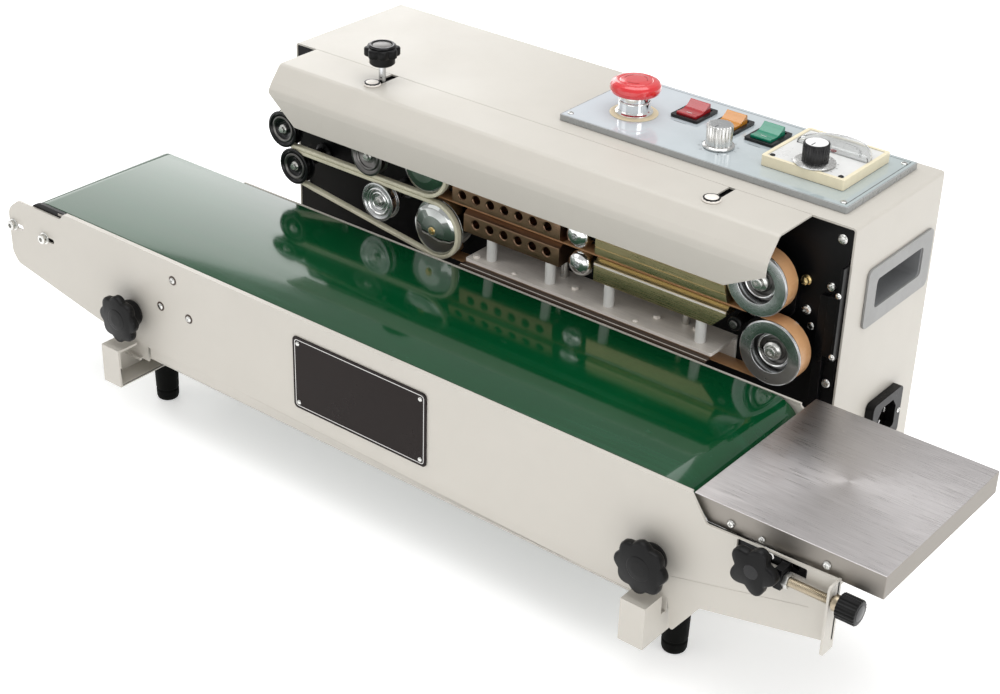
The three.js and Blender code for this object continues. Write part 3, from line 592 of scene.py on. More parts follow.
def turned(profile, axis, centre, r=0.4, n=72, seg=3):
    """lathe() with every corner of the profile rounded."""
    on_axis = profile[0][0] < 1e-7 and profile[-1][0] < 1e-7
    return lathe(fillet(profile, r, seg, closed=not on_axis), axis, centre, n)


def cylinder(radius, start, end, axis, centre, r=0.4, n=72):
    return turned(rect(0, radius, start, end), axis, centre, r, n)


def threaded(r, start, end, axis, centre, pitch=1.25):
    root = r - 0.45
    profile, at = [(0, start), (root, start)], start
    while at + pitch < end:
        profile += [(root, at + 0.12 * pitch), (r, at + 0.5 * pitch), (root, at + 0.88 * pitch)]
        at += pitch
    return lathe(profile + [(root, end), (0, end)], axis, centre, 24)


def ring_stack(levels, radius_at, axis, centre, n):
    """A capped stack of rings, one per (station, size); radius_at(angle, size) shapes them."""
    place = PLACE[axis]
    verts, faces = [], []
    for station, size in levels:
        for i in range(n):
            t = tau * i / n
            r = radius_at(t, size)
            verts.append(place(centre[0] + r * cos(t), centre[1] + r * sin(t), station))
    top = len(verts) - n
    for a in range(0, top, n):
        for i in range(n):
            j = (i + 1) % n
            faces.append((a + i, a + j, a + n + j, a + n + i))
    faces += [tuple(reversed(range(n))), tuple(range(top, top + n))]
    return verts, faces


def fluted(centre, r, depth, count, start, end, per, axis="z", chamfer=0.8):
    """A ribbed cylinder with chamfered ends; per is the points to each rib."""
    levels = [(start, r - chamfer), (start + chamfer * 0.6, r), (end - chamfer, r),
              (end - chamfer * 0.3, r - chamfer * 0.45), (end, r - chamfer * 1.2)]

    def radius_at(t, size):
        fade = 1 if size >= r - chamfer else 0.5
        return size - depth * (0.5 - 0.5 * cos(t * count)) ** 1.6 * fade

    return ring_stack(levels, radius_at, axis, centre, count * per)


def star(centre, r_out, r_in, count, start, end, axis, bulge, per=10, crown=1.2):
    """A lobed hand knob, its rim rounded over; per is the points to each lobe."""
    levels = [(start, 0.90), (start + crown * 0.35, 0.97), (start + crown, 1.0),
              (end - crown, 1.0), (end - crown * 0.35, 0.965), (end, 0.90)]

    def radius_at(t, size):
        return (r_in + (r_out - r_in) * (0.5 + 0.5 * cos(t * count)) ** bulge) * size

    return ring_stack(levels, radius_at, axis, centre, count * per)


def solid_box(x0, x1, y0, y1, z0, z1):
    verts = [(x, y, z) for z in (z0, z1) for y in (y0, y1) for x in (x0, x1)]
    return verts, [(0, 2, 3, 1), (4, 5, 7, 6), (0, 1, 5, 4), (2, 6, 7, 3), (0, 4, 6, 2),
                   (1, 3, 7, 5)]


def belt_path(end_a, end_b, n):
    """Outline round two circles (x, z, r) joined by their outer tangents."""
    left, right = sorted((end_a, end_b), key=lambda end: end[0])
    dx, dz = right[0] - left[0], right[1] - left[1]
    base, phi = atan2(dz, dx), acos((left[2] - right[2]) / hypot(dx, dz))
    up, down = base + phi, base - phi
    wrap = up - down
    return (arc(right[0], right[1], right[2], right[2], down, wrap, n)
            + arc(left[0], left[1], left[2], left[2], up, tau - wrap, n))


def belt_loop(end_a, end_b, section, n):
    """A closed loop round two (x, z, r) ends; section is a list of (offset outwards, y)."""
    verts, faces = [], []
    for offset, y in section:
        ends = [(x, z, r + offset) for x, z, r in (end_a, end_b)]
        path = belt_path(*ends, n)
        verts += [(x, y, z) for x, z in path]
    m, total = len(path), len(verts)
    for a in range(0, total, m):
        b = (a + m) % total
        for i in range(m):
            j = (i + 1) % m
            faces.append((a + i, b + i, b + j, a + j))
    return verts, faces


def move(shape, dx, dy, dz):
    return [(x + dx, y + dy, z + dz) for x, y, z in shape[0]], shape[1]


def rotated(shape, degrees, axis, about):
    turn = Matrix.Rotation(radians(degrees), 3, axis)
    centre = Vector(about)
    return [tuple(turn @ (Vector(p) - centre) + centre) for p in shape[0]], shape[1]


def tick(r0, r1, half_width, z0, z1, degrees, cx, cy):
    """A flat bar pointing out from (cx, cy)."""
    bar = solid_box(r0, r1, -half_width, half_width, z0, z1)
    return move(rotated(bar, degrees, "Z", (0, 0, 0)), cx, cy, 0)


def join(shapes):
    verts, faces = [], []
    for part_verts, part_faces in shapes:
        k = len(verts)
        verts += part_verts
        faces += [tuple(i + k for i in face) for face in part_faces]
    return verts, faces


# ------------------------------------------------------------------ objects
def raw(name, shape):
    mesh = bpy.data.meshes.new(name)
    mesh.from_pydata([to_metres(p) for p in shape[0]], [], [list(f) for f in shape[1]])
    bm = bmesh.new()
    bm.from_mesh(mesh)
    bmesh.ops.remove_doubles(bm, verts=bm.verts, dist=1e-7)
    bmesh.ops.dissolve_degenerate(bm, dist=1e-7, edges=bm.edges)
    bmesh.ops.recalc_face_normals(bm, faces=bm.faces)
    bm.to_mesh(mesh)
    bm.free()
    obj = bpy.data.objects.new(name, mesh)
    bpy.context.scene.collection.objects.link(obj)
    return obj


def boolean(obj, cutters, operation="DIFFERENCE"):
    tools = []
    for i, shape in enumerate(cutters):
        tool = raw(f"{obj.name}_tool{i}", shape)
        tools.append(tool)
        mod = obj.modifiers.new(f"b{i}", "BOOLEAN")
        mod.operation = operation
        mod.object = tool
        mod.solver = "EXACT"
    bpy.context.view_layer.update()
    graph = bpy.context.evaluated_depsgraph_get()
    mesh = bpy.data.meshes.new_from_object(obj.evaluated_get(graph))
    obj.modifiers.clear()
    obj.data = mesh
    for tool in tools:
        bpy.data.objects.remove(tool)


def take_shape(obj):
    """The object's mesh as a shape on the datum; the object goes."""
    verts = [to_datum(v.co) for v in obj.data.vertices]
    faces = [tuple(p.vertices) for p in obj.data.polygons]
    bpy.data.objects.remove(obj)
    return verts, faces


def round_edges(obj, width_mm, seg, degrees):
    mod = obj.modifiers.new("edges", "BEVEL")
    mod.width = width_mm / 1000
    mod.segments = seg
    mod.limit_method = "ANGLE"
    mod.angle_limit = radians(degrees)
    mod.harden_normals = True
    return mod


def piece(name, shape, material, slot, body="housing", replaces=None, bevel=0.0, seg=2, cut=(),
          angle=32):
    """A finished piece from one shape or a list of them, riding on the body."""
    obj = raw(name, join(shape) if isinstance(shape, list) else shape)
    if cut:
        boolean(obj, cut)
    mesh = obj.data
    mesh.materials.clear()
    mesh.materials.append(material)
    mesh.polygons.foreach_set("use_smooth", [True] * len(mesh.polygons))
    if bevel:
        mod = round_edges(obj, bevel, seg, 32)
        mod.use_clamp_overlap = True
        mod.miter_outer = "MITER_ARC"
    else:
        mesh.set_sharp_from_angle(angle=radians(angle))
    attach(obj, body)
    if replaces:
        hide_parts(replaces)


def cad(node, material, bevel=0.0, seg=2):
    """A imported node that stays: its own mesh, with rounded edges and a finish."""
    obj = frame["nodes"][node]
    mesh = obj.data
    if "custom_normal" in mesh.attributes:
        mesh.attributes.remove(mesh.attributes["custom_normal"])
    mesh.polygons.foreach_set("use_smooth", [bool(bevel)] * len(mesh.polygons))
    mesh.materials.clear()
    mesh.materials.append(material)
    obj.modifiers.new("weld", "WELD").merge_threshold = 1e-5
    if bevel:
        round_edges(obj, bevel, seg, 30)


# ------------------------------------------------------------------ fasteners
TURN = {
    "+z": Matrix.Identity(3),
    "-y": Matrix.Rotation(pi / 2, 3, "X"),
    "+y": Matrix.Rotation(-pi / 2, 3, "X"),
    "+x": Matrix.Rotation(pi / 2, 3, "Y"),
}


@lru_cache(maxsize=None)
def head_shape(kind, r, h):
    """A fastener head at the origin, facing +z."""
    def dome(profile, rounding, n=32):
        return turned(profile, "z", (0, 0), rounding, n)

    if kind == "cross":
        profile = [(0, 0), (r, 0), (r, h * 0.45), (r * 0.72, h * 0.9), (0, h)]
        obj = raw("tmp_head", dome(profile, r * 0.12))
        a, b = r * 0.58, r * 0.13
        boolean(obj, [solid_box(-a, a, -b, b, h * 0.45, h + 2),
                      solid_box(-b, b, -a, a, h * 0.45, h + 2)])
    elif kind == "socket":
        obj = raw("tmp_head", dome([(0, 0), (r, 0), (r, h), (0, h)], r * 0.14, 40))
        boolean(obj, [prism(circle(0, 0, r * 0.52, 6), "z", h * 0.35, h + 2)])
    elif kind == "hex":
        obj = raw("tmp_head", prism(circle(0, 0, r, 6), "z", 0, h))
        low, top = h - 0.01, h + h * 0.07
        boolean(obj, [dome([(0, low), (r * 0.86, low), (r * 0.8, top), (0, top)], 0.05)],
                "UNION")
    else:
        profile = [(0, 0), (r, 0), (r * 0.96, h * 0.35), (r * 0.72, h * 0.78), (r * 0.35, h),
                   (0, h)]
        obj = raw("tmp_head", dome(profile, r * 0.2))
    return take_shape(obj)


def placed(shape, way, position, spin=0.0):
    turn = TURN[way] @ Matrix.Rotation(radians(spin), 3, "Z")
    origin = Vector(position)
    return [tuple(turn @ Vector(p) + origin) for p in shape[0]], shape[1]


def screws(kind, r, h, way, face, places):
    """Heads standing on the face station; places are the two other coordinates and a spin."""
    shape = head_shape(kind, r, h)
    return [placed(shape, way, PLACE[way[1]](a, b, face), spin) for a, b, spin in places]


def washer(r_in, r_out, thickness, position):
    ring = lathe(rect(r_in, r_out, 0, thickness, thickness * 0.3, 2), "z", (0, 0), 40)
    return placed(ring, "-y", position)


# ================================================================== case
case = box_of("housing_shell")
WALL = 1.8
INLET_HOLE = rect(265, 309, -95, -55, 2)
handle_hole = rect(241, 327, 39, 73, 3)
piece("case_shell",
      prism(rect(*case.xz, 3.2, 5), "y", case.y0, case.y1, [rect(*case.xz, 1.6, 4, WALL)]),
      PAINT, "paint", replaces="housing_shell", bevel=0.35,
      cut=[solid_box(20, 265, 236, 322, 118, 132),
           prism(handle_hole, "x", case.x1 - 6, case.x1 + 6),
           prism(handle_hole, "x", case.x0 - 6, case.x0 + 6),
           prism(INLET_HOLE, "x", case.x1 - 6, case.x1 + 6)])

# Two columns of louvres: each has a slot and a lip over it.
rear = box_of("rear_cover")
LOUVRE_LENGTH = 80
louvres = [(x, 6 + i * 13) for x in (-235, 20) for i in range(6)]
vents = [slot_hole(x + LOUVRE_LENGTH / 2, z, LOUVRE_LENGTH, 2.0) for x, z in louvres]
piece("rear_panel", prism(rect(*rear.xz, 2.5, 4), "y", rear.y0, rear.y1, vents), PAINT, "paint",
      replaces="rear_cover", bevel=0.3)
# (y behind the panel, z above the slot's middle)
LIP = [(-0.2, 5.2), (0.9, 4.4), (2.3, 0.6), (1.6, 0.2), (0.2, 3.6), (-0.6, 4.2)]
piece("rear_louvres",
      [prism([(rear.y1 + dy, z + dz) for dy, dz in LIP], "x", x + 2, x + LOUVRE_LENGTH - 2)
       for x, z in louvres], PAINT, "paint", bevel=0.25)
REAR_SCREWS = [(-268, 118, 10), (9, 118, 40), (286, 118, 75), (-268, -141, 20), (9, -141, 5),
               (286, -141, 60), (-268, -10, 33), (286, -10, 12)]
piece("rear_screws", screws("cross", 3.4, 2.0, "+y", rear.y1, REAR_SCREWS), ZINC, "steel")

cad("chassis_plate", ENAMEL, 0.35)
for i, x in enumerate((188, -160)):
    piece(f"hood_screw_{i}", screws("button", 7.7, 3.4, "+z", 126.7, [(x, 175, 0)]), ALLOY,
          "chrome")

plate_y = case.y0 + 0.3
STRIP_SCREW_Y = 197
STRIP_SCREW_XS = (293.2, 294)
# kind, radius, height, x, z, spin
FRONT_SCREWS = [
    ("cross", 4.2, 2.6, 287, 115, 20), ("cross", 3.9, 2.6, 283, 73, 70),
    ("button", 2.6, 1.8, 293.2, 72, 0), ("cross", 4.3, 2.8, 264, 47, 35),
    ("button", 3.4, 1.6, 269, 34, 0), ("button", 2.6, 1.6, 294, 19, 0),
    ("cross", 4.0, 2.6, 288, -10, 15), ("cross", 4.0, 2.6, 287, -90, 55),
    ("cross", 4.0, 2.6, -270, 112, 25), ("cross", 4.0, 2.6, -270, -8, 50),
    ("cross", 4.0, 2.6, -270, -120, 5), ("hex", 4.4, 3.0, -215, 22, 0),
    ("hex", 4.4, 3.0, -120, 100, 0), ("cross", 3.4, 2.2, 120, 96, 0),
    ("cross", 3.4, 2.2, 20, 98, 30), ("hex", 4.4, 3.0, 205, 44, 15),
    ("cross", 3.4, 2.2, -30, 92, 50),
]
front_heads = []
for kind, r, h, x, z, spin in FRONT_SCREWS:
    face = STRIP_SCREW_Y if x in STRIP_SCREW_XS else plate_y
    front_heads += screws(kind, r, h, "-y", face, [(x, z, spin)])
piece("plate_screws", front_heads, ZINC, "steel")
FITTING = [(0, 199.3), (1.6, 199.3), (3.2, 200.4), (3.6, 202.0), (2.2, 203.2), (4.4, 204),
           (4.4, plate_y), (0, plate_y)]
piece("grease_fitting", turned(FITTING, "y", (261, 72), 0.3, 32), BRASS, "steel")


def bearing_flange(joint, r):
    profile = [(6.2, 201), (r * 0.7, 201), (r, 203.2), (r, plate_y - 0.05),
               (6.2, plate_y - 0.05)]
    return turned(profile, "y", pivot_xz(joint), 0.4, 48)


LARGE_WHEELS = ("drive_spin", "drive_upper_spin", "guide_lower_spin", "guide_upper_spin")
SMALL_WHEELS = ("idler_lower_spin", "idler_upper_spin", "infeed_lower_spin",
                "infeed_upper_spin")
piece("bearing_flanges",
      [bearing_flange(joint, 13) for joint in LARGE_WHEELS]
      + [bearing_flange(joint, 9.5) for joint in SMALL_WHEELS], ENAMEL, "steel")
BRACKET = [(236, 38), (252, 38), (256, 44), (256, 66), (250, 70), (236, 66)]
piece("plate_bracket", prism(fillet(BRACKET, 2, 3), "y", 200.5, plate_y - 0.1), ENAMEL,
      "black_plate", bevel=0.4)
piece("plate_strip", [prism(rect(276, 283.6, -60, 66, 1.5), "y", 201.2, plate_y - 0.1),
                      prism(rect(284, 292.4, 16, 68, 1.5), "y", 199, plate_y - 0.1)],
      ENAMEL, "black_plate", bevel=0.4)

# ================================================================== control panel
panel = box_of("control_plate")
PRINT_BASE = 131.9
stop = pivot("estop_twist")[:2]
speed = pivot("speed_knob_turn")[:2]
rocker_xs = [pivot(f"rocker_{name}_tilt")[0] for name in ("power", "fan", "heat")]
rocker_y = pivot("rocker_fan_tilt")[1]
panel_holes = [circle(*stop, 11.9), rect(190.6, 256.4, 249.1, 314.9), circle(*speed, 4, 24)]
panel_holes += [centred(x, rocker_y, 11.3, 14.3) for x in rocker_xs]
piece("control_panel", prism(rect(*panel.xy, 1.6), "z", panel.z0, panel.z1 - 0.25, panel_holes),
      PLATE_EDGE, "overlay", replaces="control_plate", bevel=0.6, seg=3)
piece("control_overlay",
      prism(rect(*panel.xy, 1.2, inset=1.3), "z", panel.z1 - 0.6, panel.z1 - 0.02, panel_holes),
      OVERLAY, "overlay", bevel=0.1, seg=1)
# Speed scale, a line by each rocker, and a border along the rear and the right.
print_z = (PRINT_BASE, panel.z1 + 0.02)
marks = [tick(14.6, 17.6 if i % 5 == 0 else 16.6, 0.25, *print_z, -60 + 30 * i, *speed)
         for i in range(11)]
marks += [solid_box(x - 6, x + 6, 274.4, 274.9, *print_z) for x in rocker_xs]
marks.append(solid_box(panel.x0 + 4, panel.x1 - 4, panel.y1 - 4.6, panel.y1 - 4.0, *print_z))
marks.append(solid_box(panel.x1 - 4.6, panel.x1 - 4.0, panel.y0 + 4, panel.y1 - 4, *print_z))
piece("panel_marks", marks, INK, "overlay")
PANEL_SCREWS = [(13, 229, 10), (271.5, 229, 45), (13, 325, 70), (271.5, 325, 20)]
piece("panel_screws", screws("cross", 2.6, 1.2, "+z", panel.z1 - 0.02, PANEL_SCREWS), ZINC,
      "steel")

# ------------------------------------------------------------------ stop switch
stop_x, stop_y = stop
piece("stop_legend", turned(rect(12.4, 20.5, 132.05, 132.6), "z", stop, 0.3), YELLOW, "overlay")
BARREL = [(8.0, 104), (11, 104), (11, 132.3), (16, 132.3), (16, 134.1), (14.2, 134.9),
          (13.6, 136.2), (13.6, 142.8), (13.3, 144), (12.7, 144), (12.7, 136.0), (8.0, 136.0)]
piece("stop_barrel", turned(BARREL, "z", stop, 0.25), CHROME, "chrome", replaces="estop_base")
piece("stop_contact_block",
      solid_box(stop_x - 15, stop_x + 15, stop_y - 15, stop_y + 15, 86, 104),
      BLACK, "chrome", bevel=0.8)
piece("stop_nut", prism(circle(*stop, 16.5, 6), "z", 118, 124.4, [circle(*stop, 11.4, 36)]),
      ZINC, "chrome", bevel=0.5)
cad("estop_stem", RED_DARK)
piece("stop_sleeve", turned(rect(7.35, 12.5, 140.7, 148.55), "z", stop, 0.2), CHROME, "chrome",
      "estop_plunger")
top = box_of("estop_button").z1
# (radius, depth below the top)
MUSHROOM = [(0, 13.5), (9.0, 13.5), (9.6, 13.2), (16.8, 12.6), (20.4, 10.8), (21.5, 8.0),
            (21.2, 4.6), (19.6, 2.3), (17.0, 1.3), (14.4, 0.9), (13.8, 1.35), (13.1, 0.85),
            (8, 0.3), (0, 0.05)]
piece("stop_button", turned([(r, top - depth) for r, depth in MUSHROOM], "z", stop, 1.2, 96, 4),
      RED, "red_plastic", "estop_head", "estop_button")


def arc_mark(start_degrees):
    start, sweep = radians(start_degrees), radians(62)
    outline = arc(0, 0, 9.9, 9.9, start, sweep, 6) + arc(0, 0, 9.2, 9.2, start, sweep, 6)[::-1]
    return move(prism(outline, "z", top - 0.9, top - 0.30), stop_x, stop_y, 0)


piece("stop_turn_marks", [arc_mark(k * 120 + 18) for k in range(3)], RED_DARK, "red_plastic",
      "estop_head")

# ------------------------------------------------------------------ rocker switches
bezels = []
for x in rocker_xs:
    opening = centred(x, rocker_y, 10.0, 13.2, 0.8, 2)
    bezels += [
        prism(centred(x, rocker_y, 13.4, 16.4, 1.6, 3), "z", 132.25, 134.6, [opening]),
        prism(centred(x, rocker_y, 10.9, 13.9, 0.8, 2), "z", 109, 132.4, [opening]),
        solid_box(x - 10.2, x + 10.2, rocker_y - 13.3, rocker_y + 13.3, 106, 112),
    ]
    bezels += [solid_box(x + dx - 0.4, x + dx + 0.4, rocker_y - 3, rocker_y + 3, 98, 107)
               for dx in (-5, 5)]
piece("switch_bezels", bezels, BLACK_GLOSS, "black_plastic", replaces="switch_bank", bevel=0.45)

ROCKER_TILT = radians(8)
ROCKER_Z = 126
# (along, up, corner radius) before the tilt
ROCKER = [(-9.5, -3), (9.5, -3), (11, 5), (11.3, 15.2, 1.0), (6.8, 12.6, 4), (0, 10.0, 10),
          (-6.5, 11.2, 4), (-11.3, 12.6, 1.0), (-11, 5)]


def tilted(along, up):
    """(y, z) of a point on the tilted rocker."""
    c, s = cos(ROCKER_TILT), sin(ROCKER_TILT)
    return rocker_y + along * c - up * s, ROCKER_Z + along * s + up * c


rocker_outline = [tilted(*p) for p in fillet(ROCKER, 0.5, 4)]
bar_y, bar_z = tilted(-6.4, 11.05)
ring_y, ring_z = tilted(6.2, 11.0)
ROCKERS = (("power", ROCKER_RED, "red"), ("fan", ROCKER_AMBER, "amber"),
           ("heat", ROCKER_GREEN, "green"))
for x, (name, material, color) in zip(rocker_xs, ROCKERS):
    slot, body = f"{color}_plastic", f"rocker_{name}_body"
    piece(f"rocker_{name}_cap", prism(rocker_outline, "x", x - 9.5, x + 9.5), material, slot,
          body, f"rocker_{name}", bevel=0.5, seg=3)
    bar = solid_box(x - 2.6, x + 2.6, bar_y - 0.25, bar_y + 0.25, bar_z - 0.5, bar_z + 0.42)
    ring = lathe(rect(1.6, 2.05, -0.5, 0.5, 0.1, 2), "z", (0, 0), 32)
    ring = move(ring, x, ring_y, ring_z)
    piece(f"rocker_{name}_marks", [rotated(bar, -6, "X", (x, bar_y, bar_z)),
                                   rotated(ring, 17, "X", (x, ring_y, ring_z))],
          WHITE, slot, body)

# ------------------------------------------------------------------ speed knob
knob = ("knob_alloy", "speed_knob_body")
top = box_of("speed_knob").z1
x, y = speed
piece("speed_knob_grip", fluted(speed, 10.8, 0.95, 20, 134.0, top, 8), KNURL, *knob,
      "speed_knob", angle=40)
piece("speed_knob_flange",
      turned([(0, 132.5), (13.0, 132.5), (13.0, 133.9), (11.4, 134.8), (0, 134.8)], "z", speed),
      KNURL, *knob)
piece("speed_knob_cap", [cylinder(8.6, top - 0.4, top + 0.05, "z", speed, 0.15, 64),
                         cylinder(3, 108, 133, "z", speed, 0.3, 24)], STEEL, *knob)
piece("speed_knob_line", solid_box(x - 0.35, x + 0.35, y - 8.2, y - 3.0, top - 0.1, top + 0.12),
      INK, *knob)

# ------------------------------------------------------------------ temperature controller
temp = pivot("temp_knob_turn")[:2]
controller = box_of("temp_controller")
METER_X, METER_Y = 226.5, 287.5
FACE_Z = 140.2
shaft_hole = circle(*temp, 4, 24)
piece("controller_bezel", prism(rect(*controller.xy, 1.6), "z", 132.3, 141.0,
                                [rect(*controller.xy, 1.0, 3, 3.2)]),
      CREAM, "cream_plastic", replaces="temp_controller", bevel=0.9, seg=4)
piece("controller_face",
      prism(rect(*controller.xy, 1.6, 3, 3.0), "z", 133, FACE_Z, [shaft_hole]),
      LABEL, "cream_plastic", bevel=0.2)
piece("controller_body",
      prism(rect(191.2, 255.8, 249.7, 314.3, 2), "z", 82, 133.2, [shaft_hole]),
      BLACK, "cream_plastic", bevel=0.6)
piece("meter_dial", prism(arc(METER_X, METER_Y + 1.2, 30.6, 26.4, 0, pi, 36), "z", 140.3, 140.7),
      WHITE, "cream_plastic")
piece("meter_scale",
      [tick(23.4 - (3.4 if i % 5 == 0 else 2.0), 23.4, 0.22, 140.6, 140.9, 18 + 144 * i / 20,
            METER_X, METER_Y + 0.8) for i in range(21)], INK, "cream_plastic")
piece("meter_needle", [tick(2, 21.5, 0.25, 141.4, 141.7, 152, METER_X, METER_Y + 1.2),
                       cylinder(2.2, 140.6, 142.0, "z", (METER_X, METER_Y + 2.8), 0.3, 32)],
      RED_DARK, "cream_plastic")


def meter_cover():
    """Shallow clear shell over the dial: outer levels going up, then inner levels going down."""
    # (z, scale about the cover's centre)
    levels = [(140.25, 1.0), (143.6, 0.985), (145.4, 0.93), (145.9, 0.84),
              (145.1, 0.82), (144.6, 0.90), (143.0, 0.945), (140.25, 0.955)]
    outer_top = 3
    centre_y = METER_Y + 11.6
    rim = arc(METER_X, METER_Y, 32.2, 28.6, 0, pi, 36)
    n = len(rim)
    verts = [(METER_X + (x - METER_X) * k, centre_y + (y - centre_y) * k, z)
             for z, k in levels for x, y in rim]
    faces = []
    for a in range(len(levels)):
        if a == outer_top:
            continue
        b = (a + 1) % len(levels)
        for i in range(n):
            j = (i + 1) % n
            faces.append((a * n + i, a * n + j, b * n + j, b * n + i))
    faces.append(tuple(outer_top * n + i for i in range(n)))
    faces.append(tuple((outer_top + 1) * n + i for i in reversed(range(n))))
    return verts, faces


piece("meter_cover", meter_cover(), CLEAR, "cream_plastic", angle=50)
piece("controller_screws",
      screws("cross", 2.3, 1.0, "+z", FACE_Z, [(193.4, 252.2, 20), (254.8, 252.2, 20)]),
      BLACK_GLOSS, "black_plastic")
# Marks round the knob, left out where they would reach too far forward.
knob_angles = [-240 + 25 * i for i in range(13)]
piece("controller_marks", [tick(17.4, 19.0, 0.2, 140.1, 140.32, a, *temp)
                           for a in knob_angles if sin(radians(a)) * 19 >= -11],
      INK, "cream_plastic")

knob = ("black_plastic", "temp_knob_body")
top = box_of("temp_knob").z1
x, y = temp
piece("temp_knob_grip", fluted(temp, 10.6, 0.5, 28, 143.0, top - 0.2, 5, chamfer=0.5),
      BLACK_GLOSS, *knob, "temp_knob", angle=40)
SKIRT = [(0, 141.4), (16.7, 141.4), (16.7, 142.2), (11.5, 143.3), (0, 143.3)]
piece("temp_knob_skirt", [turned(SKIRT, "z", temp, 0.35),
                          cylinder(3.2, 122, 142, "z", temp, 0.3, 24)], KNURL, *knob)
piece("temp_knob_top",
      turned([(0, top - 0.4), (9.0, top - 0.4), (9.0, top + 0.1), (0, top + 0.2)], "z", temp,
             0.15, 64), WHITE, *knob)
piece("temp_knob_line", solid_box(x - 0.4, x + 0.4, y - 8.4, y - 2.5, top + 0.02, top + 0.3),
      INK, *knob)

# ------------------------------------------------------------------ mains inlet, right side
inlet = box_of("power_inlet")
SOCKET = [(272, -87), (302, -87), (302, -68), (296, -60), (278, -60), (272, -68)]
piece("inlet_body", prism(rect(262, 312, -98, -52, 5, 5), "x", case.x1 + 0.3, inlet.x1),
      BLACK, "black_plastic", replaces="power_inlet", bevel=1.0, seg=3,
      cut=[prism(fillet(SOCKET, 2.5), "x", 285, inlet.x1 + 4)])
piece("inlet_back", prism(rect(266, 308, -94, -56, 2), "x", 262, 285.2), BLACK, "black_plastic",
      bevel=0.6)
piece("inlet_pins", [solid_box(285, 300, y - 1.0, y + 1.0, z - 2.4, z + 2.4)
                     for y, z in ((280, -70.5), (294, -70.5), (287, -80))],
      ZINC, "steel", bevel=0.3)
piece("inlet_screws",
      screws("cross", 2.4, 1.2, "+x", inlet.x1 - 0.05, [(266.4, -75, 15), (307.6, -75, 15)]),
      ZINC, "steel")

# ------------------------------------------------------------------ carrying handles
for side, out, wall in (("right", 1, case.x1), ("left", -1, case.x0)):
    node = f"handle_{side}"
    piece(f"{node}_frame",
          prism(rect(232, 338, 29, 81, 6, 6), "x", *sorted((wall + out * 0.25, wall + out * 2.2)),
                [rect(247, 323, 43, 69, 4, 5)]),
          HANDLE, "handle_grey", replaces=node, bevel=0.9, seg=3)
    cup = raw(f"{node}_cup", prism(rect(243, 325.5, 40.5, 71.5, 5, 5), "x",
                                   *sorted((wall + out * 0.8, wall - out * 26.5))))
    boolean(cup, [prism(rect(245.5, 321.5, 43, 69, 4.5, 5), "x",
                        *sorted((wall + out * 5, wall - out * 24.5)))])
    piece(f"{node}_cup", take_shape(cup), HANDLE_CUP, "handle_grey", bevel=0.5)

# ------------------------------------------------------------------ pressure screw and knob
press = pivot("pressure_knob_turn")[:2]
body = "pressure_knob_body"
NECK = [(0, 141.8), (9.6, 141.8), (11.2, 143.2), (11.2, 150.6), (0, 150.6)]
CAP_RING = [(0, 157.3), (11.6, 157.3), (11.6, 159.4), (10.8, 160.2), (9.2, 160.1), (8.7, 159.0),
            (0, 159.0)]
piece("pressure_knob_head", [star(press, 15.7, 13.3, 8, 149.9, 157.7, "z", 0.6),
                             turned(NECK, "z", press, 0.7, 64)],
      BLACK, "black_plastic", body, "pressure_knob", angle=38)
piece("pressure_knob_ring", turned(CAP_RING, "z", press, 0.5), BLACK_GLOSS, "black_plastic",
      body)
piece("pressure_knob_cap",
      turned([(0, 158.4), (8.4, 158.4), (8.4, 159.5), (0, 159.9)], "z", press, 0.4, 64),
      DARK_STEEL, "knob_alloy", body)
piece("pressure_screw", [threaded(3.0, 82, 112, "z", press),
                         cylinder(3.1, 112, 142.4, "z", press, 0.2, 32)], STEEL, "steel", body)

# ------------------------------------------------------------------ hood: one folded sheet
hood = box_of("hood")
# (y, z, fold radius), from the rear edge over the top and down the front
FOLD = [(hood.y1, 126.5), (160, 126.5, 6), (157, 125.4, 5), (146.5, 112.5, 9), (143, 107, 9),
        (142, 101, 9), (142, 79)]
hood_section = sheet(fillet(FOLD, 3, 6, closed=False), 1.5)
RIGHT_CORNER = [(222.5, 78), (262, 98.5), (270, 98.5), (270, 60), (222.5, 60)]
LEFT_CORNER = [(-222, 78), (-222, 60), (-270, 60), (-270, 106.5), (-258, 106.5)]
LEFT_SLOT = [(-164, 172.5, 3.9), (-156, 172.5, 3.9), (-156, 215), (-164, 215)]
RIGHT_SLOT = [(185, 172.5, 2.9), (191, 172.5, 2.9), (191, 215), (185, 215)]
piece("hood_sheet", prism(hood_section, "x", hood.x0, hood.x1), PAINT, "paint", "hood_body",
      "hood", bevel=0.3,
      cut=[prism(corner, "y", 130, 152) for corner in (RIGHT_CORNER, LEFT_CORNER)]
      + [prism(fillet(slot, 0, 5), "z", 118, 132) for slot in (LEFT_SLOT, RIGHT_SLOT)])

# ================================================================== sealing line: shelf
SHELF_X0, SHELF_X1 = -45, 206
SHELF_TOP = 2.4
shelf_outline = [(SHELF_X0, 165, 2), (SHELF_X1, 165, 2), (SHELF_X1, 204.7), (SHELF_X0, 204.7)]
piece("shelf_plate", [prism(fillet(shelf_outline, 0), "z", -0.6, SHELF_TOP),
                      solid_box(SHELF_X0, SHELF_X1, 202, 204.6, -22, 2.2)],
      ALLOY, "alloy_shelf", replaces="block_shelf", bevel=0.35)
piece("shelf_standoffs", [cylinder(4.5, 2.3, 22.3, "z", (x, 176.5), 0.5, 40)
                          for x in (-25, 37.7, 98.3, 188)], CERAMIC, "alloy_shelf")
piece("shelf_rear_posts", [cylinder(3.4, 2.3, 20.4, "z", (x, 194), 0.4, 32)
                           for x in (40, 163)], ZINC, "steel")
SHELF_HEXES = [(60, 182, 10), (140, 186, 0), (-38, 172, 30), (176, 190, 20)]
